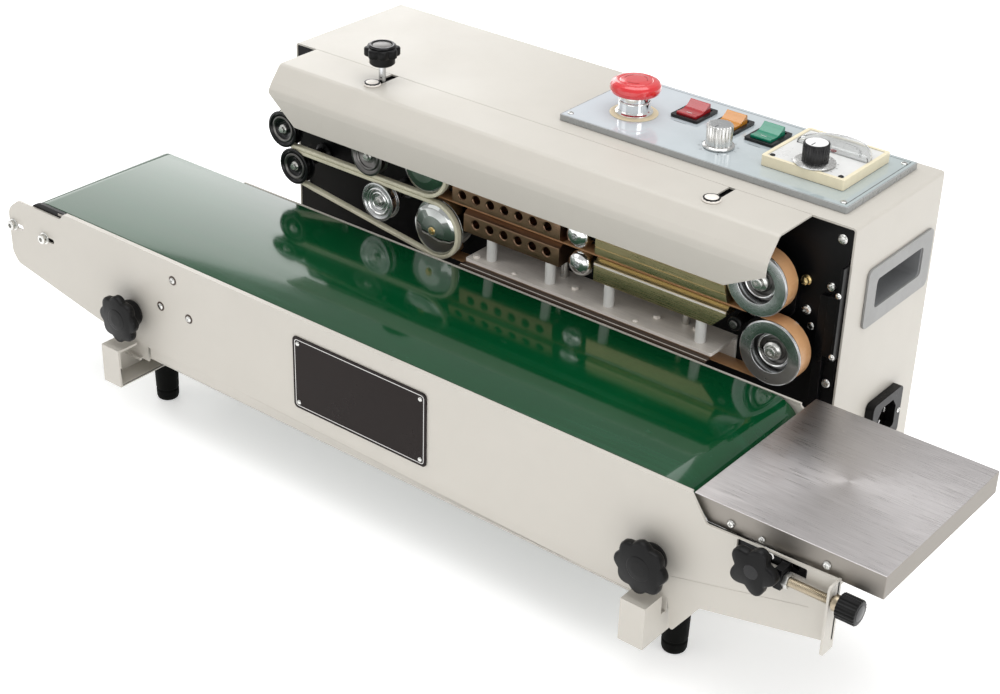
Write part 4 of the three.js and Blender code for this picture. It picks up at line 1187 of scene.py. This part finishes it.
piece("shelf_screws",
      screws("hex", 3.2, 2.2, "+z", SHELF_TOP, SHELF_HEXES)
      + screws("button", 2.4, 1.4, "+z", SHELF_TOP, [(5, 169.5, 0), (130, 169.5, 0)]),
      ALLOY, "steel")
piece("shelf_edge_line", solid_box(-44, 205.4, 164.6, 165.0, -0.9, -0.4), COPPER, "alloy_shelf")

# ------------------------------------------------------------------ heater and cooling blocks
BLOCK_FRONT, BLOCK_REAR = 172, 197
LOWER_TOP, UPPER_BOTTOM = 42.25, 44.15
LOWER = [(BLOCK_FRONT, 22.5), (BLOCK_REAR, 22.5), (BLOCK_REAR, LOWER_TOP), (176.5, LOWER_TOP),
         (BLOCK_FRONT, LOWER_TOP - 3.2)]


def upper(top):
    return [(BLOCK_FRONT, UPPER_BOTTOM + 3.2), (176.5, UPPER_BOTTOM), (BLOCK_REAR, UPPER_BOTTOM),
            (BLOCK_REAR, top), (BLOCK_FRONT, top)]


def block(x0, x1, profile):
    return prism(fillet(profile, 0.5, 3), "x", x0, x1)


def bores(x0, count, z):
    """Countersunk holes bored back from the front, 15.2 apart."""
    profile = [(0, 160), (4.7, 160), (4.7, 172.5), (4.0, 173.1), (4.0, 192), (0, 194)]
    return [lathe(profile, "y", (x0 + 15.2 * i, z), 36) for i in range(count)]


def lugs(places):
    return [solid_box(x, x + 20, 196.5, 204.7, z, z + 12) for x, z in places]


piece("heater_lower", block(-53, 49, LOWER), COPPER, "copper_block",
      replaces="heater_block_lower", bevel=0.35, cut=bores(-40.3, 6, 32.2))
piece("heater_upper", block(-66, 49, upper(64)), COPPER, "copper_block",
      replaces="heater_block_upper", bevel=0.35, cut=bores(-55.5, 7, 55.2))
piece("heater_lugs", lugs([(-30, 26), (-30, 48), (20, 26), (20, 48)]), DARK_STEEL,
      "copper_block", bevel=0.5)
piece("shelf_front_strip", solid_box(SHELF_X0, SHELF_X1, 156.0, 164.5, -2.4, -0.9), BROWN,
      "alloy_shelf", bevel=0.3)
piece("shelf_front_line", solid_box(SHELF_X0, SHELF_X1, 158.4, 159.2, -1.1, -0.72), ALLOY,
      "alloy_shelf")
# Painted highlight: a pale strip on the lower cooling block's front, just under its top chamfer,
# where the chamfer catches light.
piece("cooler_painted_highlight", solid_box(84.8, 211.6, 171.3, 172.4, 37.3, 38.9), ALLOY, "gold_block",
      bevel=0.2)
piece("cooler_lower", block(84.6, 212, LOWER), GOLD, "gold_block",
      replaces="cooling_block_lower", bevel=0.35,
      cut=[prism([(198, 21), (213, 36), (214, 20)], "y", 160, 205)])
piece("cooler_upper", block(84.6, 212, upper(66)), GOLD, "gold_block",
      replaces="cooling_block_upper", bevel=0.35,
      cut=[prism([(213, 43.9), (214, 68), (205.5, 67)], "y", 160, 205),
           solid_box(80, 215, 165, 172.7, 53.2, 54.0), solid_box(80, 215, 165, 172.5, 60.4, 61.0)])
piece("cooler_lugs", lugs([(105, 26), (170, 26), (105, 48), (165, 48)]), DARK_STEEL,
      "gold_block", bevel=0.5)

# ------------------------------------------------------------------ wheels
# Wheel profiles are (radius, y), front first; a third number is the corner's radius.
DRIVE_R, GUIDE_R, GROOVE_R, INFEED_R = 26.2, 26.3, 23.2, 12.15
DRIVE_RIM = [(16.6, 174.6), (DRIVE_R, 174.6), (27.4, 175.4), (27.4, 176.5), (DRIVE_R, 176.8),
             (DRIVE_R, 194), (18, 194), (16.6, 186)]
DRIVE_WEB = [(0, 183.2), (8.5, 183.2), (9.5, 184.4), (14.5, 185.2), (16.9, 184.0),
             (16.9, 187.0), (9, 188.5), (9, 200), (5, 200), (5, 222.5), (0, 222.5)]
DRIVE_RING = [(12.6, 181.2), (13.6, 180.6), (14.6, 181.4), (14.6, 184.4), (12.6, 184.6)]
DRIVE_HUB = [(0, 177.8), (5.6, 177.9), (7.7, 179.0), (8.0, 180.4), (8.0, 183.6), (0, 183.6)]
GUIDE_DISH = [(0, 163.9), (5.2, 164.0, 1.0), (13, 164.9, 8), (20.0, 166.7, 6),
              (GROOVE_R, 168.4), (GROOVE_R, 174.0), (GUIDE_R, 174.0), (GUIDE_R, 194), (9, 194),
              (9, 200), (5, 200), (5, 214), (0, 214)]
GUIDE_HUB = [(0, 163.1), (2.9, 163.1), (3.6, 163.6), (3.6, 165.4), (0, 165.4)]
PRESS_WHEEL = [(0, 171.3), (3.4, 171.4, 2), (6.6, 172.1, 3), (9.4, 173.6, 3), (11.0, 175.8, 3),
               (11.4, 178.6, 2), (11.4, 192.5), (6, 192.5), (6, 200), (4, 200), (4, 214),
               (0, 214)]

for level, joint in (("lower", "drive_spin"), ("upper", "drive_upper_spin")):
    centre = pivot_xz(joint)
    body, name = f"drive_{level}", f"drive_{level}_wheel"
    piece(f"{name}_rim", turned(DRIVE_RIM, "y", centre, 0.45, 96, 4), STEEL, "steel", body,
          f"drive_wheel_{level}")
    piece(f"{name}_web", turned(DRIVE_WEB, "y", centre, 0.5, 80), DARK_STEEL, "steel", body)
    piece(f"{name}_ring", turned(DRIVE_RING, "y", centre, 0.4, 80), CHROME, "chrome", body)
    piece(f"{name}_hub", [turned(DRIVE_HUB, "y", centre, 0.7, 64),
                          *screws("socket", 4.6, 2.2, "-y", 177.7, [(*centre, 10)])],
          ZINC, "steel", body)
    cad(f"drive_gear_{level}", STEEL, 0.25)

for level in ("lower", "upper"):
    centre = pivot_xz(f"guide_{level}_spin")
    body = f"guide_{level}"
    piece(f"{body}_wheel_dish", turned(GUIDE_DISH, "y", centre, 0.8, 96, 4), CHROME_DEEP,
          "chrome", body, f"guide_wheel_{level}")
    piece(f"{body}_wheel_hub", [turned(GUIDE_HUB, "y", centre, 0.35, 64),
                                *screws("hex", 2.3, 1.0, "-y", 163.15, [(*centre, 25)])],
          BRASS, "steel", body)


def small_wheel(name, body, node, groove, flange, material, slot, ringed):
    centre = pivot_xz(f"{name}_spin")
    profile = [(0, 167.2), (flange * 0.38, 167.2), (flange * 0.46, 166.6), (flange - 3.4, 165.0),
               (flange - 2.2, 163.9), (flange, 164.2), (flange, 165.6), (groove, 166.0),
               (groove, 172.6), (flange, 173.0), (flange, 174.6), (6, 174.6), (6, 200),
               (4, 200), (4, 214), (0, 214)]
    piece(f"{name}_wheel", turned(profile, "y", centre, 0.45, 80), material, slot, body, node)
    r = flange * 0.66
    rings = [turned([(r - 1.5, 165.2), (r, 164.4), (r + 1.1, 164.7), (r + 1.1, 166.6),
                     (r - 1.5, 167.0)], "y", centre, 0.4, 80)]
    if ringed:
        rings.append(turned([(r * 0.56, 166.0), (r * 0.66, 165.6), (r * 0.74, 166.0),
                             (r * 0.74, 167.2), (r * 0.56, 167.4)], "y", centre, 0.3))
    piece(f"{name}_ring", rings, CHROME if ringed else DARK_STEEL, "chrome", body)
    bolt = [(0, 164.6), (3.6, 164.6), (4.4, 165.4), (4.4, 167.4), (0, 167.4)]
    piece(f"{name}_bolt", [turned(bolt, "y", centre, 0.4, 48),
                           *screws("hex", 3.0, 1.9, "-y", 164.7, [(*centre, 12)])],
          ZINC, "steel", body)


for level, material, ringed in (("lower", STEEL, True), ("upper", DARK_STEEL, False)):
    name = f"idler_{level}"
    small_wheel(name, f"{name}_body", name, 15.75, 17.8, material, "steel", ringed)
for level in ("lower", "upper"):
    name = f"infeed_{level}"
    small_wheel(name, name, f"infeed_pulley_{level}", INFEED_R, 17.0, BLACK_GLOSS,
                "pulley_black", False)

for level in ("lower", "upper"):
    body = f"press_{level}"
    centre = pivot_xz(f"{body}_spin")
    piece(f"{body}_wheel", turned(PRESS_WHEEL, "y", centre, 0.9, 72, 4), CHROME, "chrome", body,
          f"press_wheel_{level}")
    piece(f"{body}_bolt", screws("socket", 2.6, 1.1, "-y", 171.5, [(*centre, 8)]), STEEL,
          "steel", body)


# ------------------------------------------------------------------ bands and guide belts
def wrap(joint, r):
    """A belt end (x, z, r), just clear of the wheel."""
    return (*pivot_xz(joint), r + 0.3)


BAND_SECTION = rect(0, 0.5, 177, 192, 0.15, 2)
GUIDE_SECTION = rect(0.05, 3.55, 166.3, 172.3, 1.1)
for level, joint in (("lower", "drive_spin"), ("upper", "drive_upper_spin")):
    ends = wrap(f"guide_{level}_spin", GUIDE_R), wrap(joint, DRIVE_R)
    piece(f"band_{level}", belt_loop(*ends, BAND_SECTION, 48), BAND, "seal_band",
          replaces=f"seal_band_{level}", angle=50)
for short, level in (("low", "lower"), ("up", "upper")):
    ends = wrap(f"infeed_{level}_spin", INFEED_R), wrap(f"guide_{level}_spin", GROOVE_R)
    piece(f"guide_belt_{short}", belt_loop(*ends, GUIDE_SECTION, 40), GUIDE, "guide_belt",
          replaces=f"guide_belt_{level}", angle=50)
ROLLER = [(0, 173.5), (5.4, 173.5), (6.2, 174.4), (6.2, 176.4), (4.6, 177), (4.6, 204.9),
          (0, 204.9)]
piece("band_guide_roller", turned(ROLLER, "y", (219, 30.5), 0.5, 48), BLACK, "steel")
piece("band_guide_cap", screws("socket", 3.4, 1.6, "-y", 173.5, [(219, 30.5, 5)]), DARK_STEEL,
      "steel")

# Inside the case.
cad("drive_motor", MOTOR, 0.8)
cad("fan_housing", BLACK, 0.4)
cad("fan_rotor", BLACK, 0.2)


# ================================================================== stand
def foot(node, grooved):
    box = box_of(node)
    r, z0, z1 = (box.x1 - box.x0) / 2, box.z0, box.z1
    base = [(0, z0), (r - 2.4, z0), (r - 1.6, z0 + 0.8), (r - 0.9, z0 + 3)]
    groove = [(r - 0.7, z0 + 9), (r - 1.5, z0 + 9.8), (r - 1.5, z0 + 11.2), (r - 0.6, z0 + 12)]
    top = [(r - 0.1, z1 - 5), (r - 0.1, z1 - 1.2), (r - 1.2, z1), (0, z1)]
    profile = base + (groove if grooved else []) + top
    centre = (box.x0 + box.x1) / 2, (box.y0 + box.y1) / 2
    piece(f"{node}_rubber", turned(profile, "z", centre, 0.6, 56), RUBBER, "rubber_foot",
          replaces=node)


for side in ("left", "right"):
    cad(f"arm_{side}", PAINT, 0.45)
    for end in ("front", "rear"):
        foot(f"foot_{end}_{side}", grooved=end == "front")
    arm = box_of(f"arm_{side}")
    x = (arm.x0 + arm.x1) / 2
    piece(f"arm_{side}_screws",
          screws("hex", 4.0, 2.8, "+z", -129.4, [(x - 4, 33, 10)])
          + screws("cross", 3.0, 1.8, "+z", -111.9, [(x + 3, 180, 20)]), ZINC, "steel")

# ================================================================== belt table
PANEL_FRONT, PANEL_BACK = -5.0, -3.0
REAR_FACE = 154
# (x, z, corner radius)
FRONT_OUTLINE = [
    (-368, 0.2, 1), (-374, -6.2, 2), (-432, -6.2, 9), (-447.2, -18, 14), (-447.2, -62, 12),
    (-440, -71.5, 8), (-336.7, -91.2, 30), (-300, -97, 12), (289.5, -97, 2), (293, -126.8, 2),
    (316.3, -93.5, 3), (421, -70, 3), (421, -17, 2), (315.5, -20.2, 3), (301.5, 0.2, 1),
]
REAR_OUTLINE = [
    (-368, -3.4, 1), (-374, -8, 2), (-400, -14, 6), (-416, -30, 8), (-416, -60, 8),
    (-400, -74, 8), (-336, -91, 20), (-300, -97, 8), (300, -97, 3), (421, -70, 3), (421, -6, 2),
    (300, -6, 1), (296, -3.4, 1),
]
END_SHADE_PLATE = [(-366, -0.4), (-420.9, -0.4, 25), (-420.9, -46, 16), (-366, -46)]
CREASE = [(289, -78.4), (401, -50.4), (401, -49.4), (289, -77.4)]
# (y, z, corner radius)
TOP_LIP = [(-3.3, -4.5), (-3.3, 0.12), (-0.1, 0.12, 0.5), (-0.1, -1.4), (-2.6, -1.4, 0.4),
           (-2.6, -4.5)]
REAR_LIP = [(153.9, -8.0), (153.9, -0.8, 0.6), (151.6, -0.8), (151.6, -2.0), (152.4, -2.0),
            (152.4, -8)]
END_TAB = [(-16, -76, 3), (-0.7, -76), (-0.7, -18), (-16, -18, 3)]


def painted(name, shape, **finish):
    piece(name, shape, PAINT, "paint", "table", **finish)


table_holes = [circle(-281, -66, 3.6, 24), circle(275.5, -66, 3.6, 24),
               rect(341, 397, -29, -20, 1.5, 3), slot_hole(-433, -32.8, 10, 2.3),
               slot_hole(-390, -32.8, 10, 2.3)]
painted("table_panel",
        prism(fillet(FRONT_OUTLINE, 2, 6), "y", PANEL_FRONT, PANEL_BACK, table_holes),
        replaces="table_frame", bevel=0.45, seg=3)
painted("table_top_lip", prism(fillet(TOP_LIP, 0.2), "x", -367.6, 300.2), bevel=0.25)
painted("table_lower_rail", [solid_box(-266, 258, -3.4, -1.4, -109, -95.5),
                             solid_box(-266, 258, -3.4, 12, -109, -107.4)], bevel=0.45)
# Painted shade: a black plate fills the gap between the front panel and the belt's left end, where
# only shade falls.
piece("left_end_shade_plate", prism(fillet(END_SHADE_PLATE, 1, 10), "y", -2.9, 0.3), ENAMEL, "black_plate",
      "table", bevel=0.3)
painted("table_rear_panel", prism(fillet(REAR_OUTLINE, 2, 5), "y", 152, REAR_FACE), bevel=0.45)
painted("table_rear_lip", prism(fillet(REAR_LIP, 0.2), "x", -300, 296), bevel=0.2)
piece("table_bed", solid_box(-378, 252, -3.2, 152.2, -4.2, -1.9), STAINLESS, "stainless",
      "table", bevel=0.3)
painted("table_ties", [solid_box(-330, -320, -3.2, 152.2, -72, -62),
                       solid_box(403, 409, -3.2, 152.2, -44, -30)], bevel=0.6)
painted("table_end_tab", prism(fillet(END_TAB, 0), "x", 419, 421, [circle(-11, -31, 3.9, 28)]),
        bevel=0.4)
painted("panel_crease", prism(fillet(CREASE, 0.1, 2), "y", PANEL_FRONT - 0.25, PANEL_FRONT + 0.2))

# Screws: (x, z, spin).
ROLLER_BOLTS = [(-441, -32.6, 5), (-397.6, -32.5, 25)]
LEFT_SCREWS = [(-228, -17, 10), (-245.5, -48, 50), (-210.4, -48, 30)]
REAR_PANEL_SCREWS = [(-228, -17, 10), (-210, -48, 30), (200, -30, 15), (360, -20, 40)]
piece("roller_bolts",
      screws("socket", 4.4, 4.2, "-y", PANEL_FRONT - 0.8, ROLLER_BOLTS)
      + [washer(2.4, 5.6, 0.9, (x, PANEL_FRONT + 0.05, z)) for x, z, _ in ROLLER_BOLTS],
      ZINC, "steel", "table")
# Painted shadows: thin brown rings round the left screws, wider than their heads, stand for the
# shade about each head.
piece("panel_screw_shadow_rings",
      [washer(2.5, 4.3, 0.3, (x, PANEL_FRONT + 0.02, z)) for x, z, _ in LEFT_SCREWS],
      BROWN, "paint", "table")
piece("panel_screws_left", screws("cross", 2.9, 1.8, "-y", PANEL_FRONT + 0.05, LEFT_SCREWS),
      ZINC, "steel", "table")
piece("plate_flange_screws",
      screws("cross", 3.2, 2.0, "-y", -0.02, [(332.4, -14.5, 20)])
      + screws("cross", 2.6, 2.0, "-y", -0.02, [(357.6, -16, 45)])
      + screws("cross", 3.2, 2.0, "-y", -0.02, [(408.6, -13.3, 5)]), ZINC, "steel", "table")
piece("rear_panel_screws",
      screws("cross", 2.9, 1.8, "+y", REAR_FACE - 0.05, REAR_PANEL_SCREWS),
      ZINC, "steel", "table")

# ------------------------------------------------------------------ conveyor belt and rollers
ROLLER_R = 24.3
piece("belt_sheet",
      belt_loop(wrap("drive_roller_spin", ROLLER_R), wrap("tension_roller_spin", ROLLER_R),
                rect(0, 1.4, 0.5, 149.5, 0.35, 3), 56),
      BELT, "belt_green", "table", "conveyor_belt", angle=50)
BARE = [(20, 2), (22, 3.4), (ROLLER_R, 3.4), (ROLLER_R, 146.6), (22, 146.6), (20, 148)]
SHAFTED = [(0, -2.6), (6, -2.6), (6, 2), *BARE, (6, 148), (6, 151.6), (0, 151.6)]
HOLLOW = [(5.4, 2), *BARE, (5.4, 148)]
for name, node, profile in (("left", "drive_roller", SHAFTED),
                            ("right", "tension_roller", HOLLOW)):
    piece(f"{name}_roller_tube", turned(profile, "y", pivot_xz(f"{node}_spin"), 0.5), KNURL,
          "roller_alloy", f"{node}_body", node)

cad("end_plate", STAINLESS, 0.55, 3)
cad("tension_bracket", ENAMEL, 0.3)
piece("tension_nut", turned(rect(3.9, 6.0, 384.2, 388.2), "x", (-11, -31), 0.4, 6), ZINC,
      "steel", "tension_carriage")

# ------------------------------------------------------------------ nameplate
plate = box_of("nameplate")
piece("nameplate_body", prism(rect(*plate.xz, 4, 6), "y", plate.y0 + 0.05, plate.y1), NAMEPLATE,
      "plate_black", "table", "nameplate", bevel=0.2)
piece("nameplate_border",
      prism(rect(*plate.xz, 3, 6, 2.2), "y", plate.y0 - 0.05, plate.y0 + 0.2,
            [rect(*plate.xz, 2.4, 6, 2.9)]), PALE_INK, "plate_black", "table")
rivets = [(x, z, 0) for x in (plate.x0 + 6, plate.x1 - 6) for z in (plate.z0 + 6, plate.z1 - 6)]
piece("nameplate_rivets", screws("button", 2.1, 1.3, "-y", plate.y0 + 0.05, rivets), ZINC,
      "steel", "table")

# ------------------------------------------------------------------ hand knobs of the table
CLAMP_NECK = [(0, -19.2), (12.8, -19.2), (12.8, -9), (11.6, -6.0), (0, -6.0)]
CLAMP_CAP = [(0, -27.6), (5.5, -27.4, 3), (9.6, -26.9, 1.2), (10.8, -26.2), (10.8, -24),
             (0, -24)]
for side in ("left", "right"):
    node = f"star_knob_{side}"
    body = f"{node}_body"
    centre = pivot_xz(f"{node}_turn")
    piece(f"clamp_{side}_head",
          [star(centre, 22.5, 19.6, 8, -26.5, -18.6, "y", 0.62, crown=2.0),
           turned(CLAMP_NECK, "y", centre, 0.8, 64)],
          BLACK, "black_plastic", body, node, angle=38)
    piece(f"clamp_{side}_cap", turned(CLAMP_CAP, "y", centre, 0.4, 64), BLACK, "black_plastic",
          body)
    piece(f"clamp_{side}_stud", [threaded(3.0, -6.2, 4.2, "y", centre, 1.0),
                                 prism(circle(*centre, 5.5, 6), "y", 0.15, 4.1)],
          ZINC, "steel", body, angle=30)

centre = pivot("tension_screw_turn")[1:]
body = "tension_screw_body"
piece("tension_rod", [threaded(3.5, 374, 418, "x", centre),
                      cylinder(3.5, 418, 428, "x", centre, 0.2, 32),
                      cylinder(6, 422.5, 427.6, "x", centre, 0.6, 48)],
      ROD, "steel", body, "tension_screw", angle=30)
piece("tension_knob", fluted(centre, 9.5, 0.6, 20, 427.2, 442.2, 6, axis="x"), BLACK,
      "black_plastic", body, angle=40)
piece("tension_knob_cap",
      turned([(0, 441.4), (6.0, 441.4), (6.0, 442.4), (0, 442.5)], "x", centre, 0.3, 48),
      BLACK_GLOSS, "black_plastic", body)

centre = pivot_xz("lock_knob_turn")
body = "lock_knob_body"
piece("lock_knob_head",
      [star(centre, 19.3, 13.8, 5, -27.0, -18.6, "y", 0.8, 14, 1.8),
       turned([(0, -19), (7.6, -19), (6.6, -16.9), (0, -16.9)], "y", centre, 0.5, 48)],
      BLACK, "black_plastic", body, "lock_knob", angle=38)
piece("lock_knob_cap",
      turned([(0, -27.2), (5.4, -27.2), (6.4, -26.4), (6.4, -25), (0, -25)], "y", centre, 0.4,
             48), BLACK_GLOSS, "black_plastic", body)
piece("lock_stud", cylinder(2.8, -18, -3, "y", centre, 0.2, 32), ZINC, "steel", body)

# ================================================================== floor and world
FLOOR_HALF = 12.0
pale = Material("floor_pale", (0.90, 0.90, 0.90), 0.75, Emission_Color=(1, 1, 1, 1),
                Emission_Strength=0.42)
pale.vary(scale=0.8, amount=0.01)
mesh = bpy.data.meshes.new("floor")
corners = [(*corner, 0) for corner in centred(0, 0, FLOOR_HALF, FLOOR_HALF)]
mesh.from_pydata(corners, [], [(0, 1, 2, 3)])
floor = bpy.data.objects.new("floor", mesh)
floor.location.z = cad_lo.z - 0.0004
mesh.materials.append(pale.done())
bpy.context.scene.collection.objects.link(floor)

# The camera sees a brighter background than the one that lights the machine.
LIGHTING_STRENGTH, SEEN_STRENGTH = 0.62, 0.98
world = bpy.data.worlds.new("studio")
bpy.context.scene.world = world
world.use_nodes = True
tree = world.node_tree
background = next(n for n in tree.nodes if n.type == "BACKGROUND")
background.inputs["Color"].default_value = (1.0, 0.995, 0.985, 1)
light_path = tree.nodes.new("ShaderNodeLightPath")
strength = tree.nodes.new("ShaderNodeMix")
strength.data_type = "FLOAT"
tree.links.new(light_path.outputs["Is Camera Ray"], strength.inputs[0])
strength.inputs[2].default_value = LIGHTING_STRENGTH
strength.inputs[3].default_value = SEEN_STRENGTH
tree.links.new(strength.outputs[0], background.inputs["Strength"])


# ------------------------------------------------------------------ lights
def area(name, place, target, size, power, color):
    light = bpy.data.lights.new(name, "AREA")
    light.shape = "RECTANGLE"
    light.size, light.size_y = size
    light.energy = power
    light.color = color
    obj = bpy.data.objects.new(name, light)
    obj.location = place
    obj.rotation_mode = "QUATERNION"
    obj.rotation_quaternion = (Vector(target) - Vector(place)).to_track_quat("-Z", "Y")
    bpy.context.scene.collection.objects.link(obj)


middle = (cad_lo + cad_hi) / 2
# name, place (m), target (m), size (m), power (W), colour
LIGHTS = [
    ("key_overhead", (0.1, 0.2, 2.4), middle, (2.6, 2.2), 41, (0.985, 0.992, 1.0)),
    ("fill_front_left", (-2.0, -2.2, 1.5), middle, (1.8, 1.6), 6.5, (1, 0.985, 0.97)),
    ("fill_low_front", (0.5, -2.6, 0.35), middle, (2.2, 0.7), 7.5, (1, 0.99, 0.98)),
    ("card_rear_left", (-1.7, 1.0, 0.92), (-0.36, -0.08, 0.17), (1.5, 0.9), 9.5, (1, 1, 1)),
    ("rim_right", (2.4, -0.4, 1.2), middle, (1.4, 1.6), 15, (1, 1, 1)),
]
for light in LIGHTS:
    area(*light)

# ------------------------------------------------------------------ camera
CAMERA_PLACE = (862.412, -949.379, 733.901)
RIGHT = Vector((0.7798950145, 0.6253683007, 0.0260433259))
DOWN = Vector((0.3275174702, -0.3722812811, -0.8684117425))
FORWARD = Vector((-0.5333817330, 0.6857996327, -0.4951593589))
lens = bpy.data.cameras.new("camera")
lens.sensor_fit = "HORIZONTAL"
lens.sensor_width = 36.0
lens.lens = 67.553
lens.clip_start = 0.05
lens.clip_end = 50
camera = bpy.data.objects.new("camera", lens)
bpy.context.scene.collection.objects.link(camera)
rotation = Matrix((RIGHT, -DOWN, -FORWARD)).transposed()
camera.matrix_world = Matrix.Translation(Vector(to_metres(CAMERA_PLACE))) @ rotation.to_4x4()
bpy.context.scene.camera = camera
bpy.context.scene.view_settings.view_transform = "Standard"
bpy.context.scene.view_settings.look = "None"
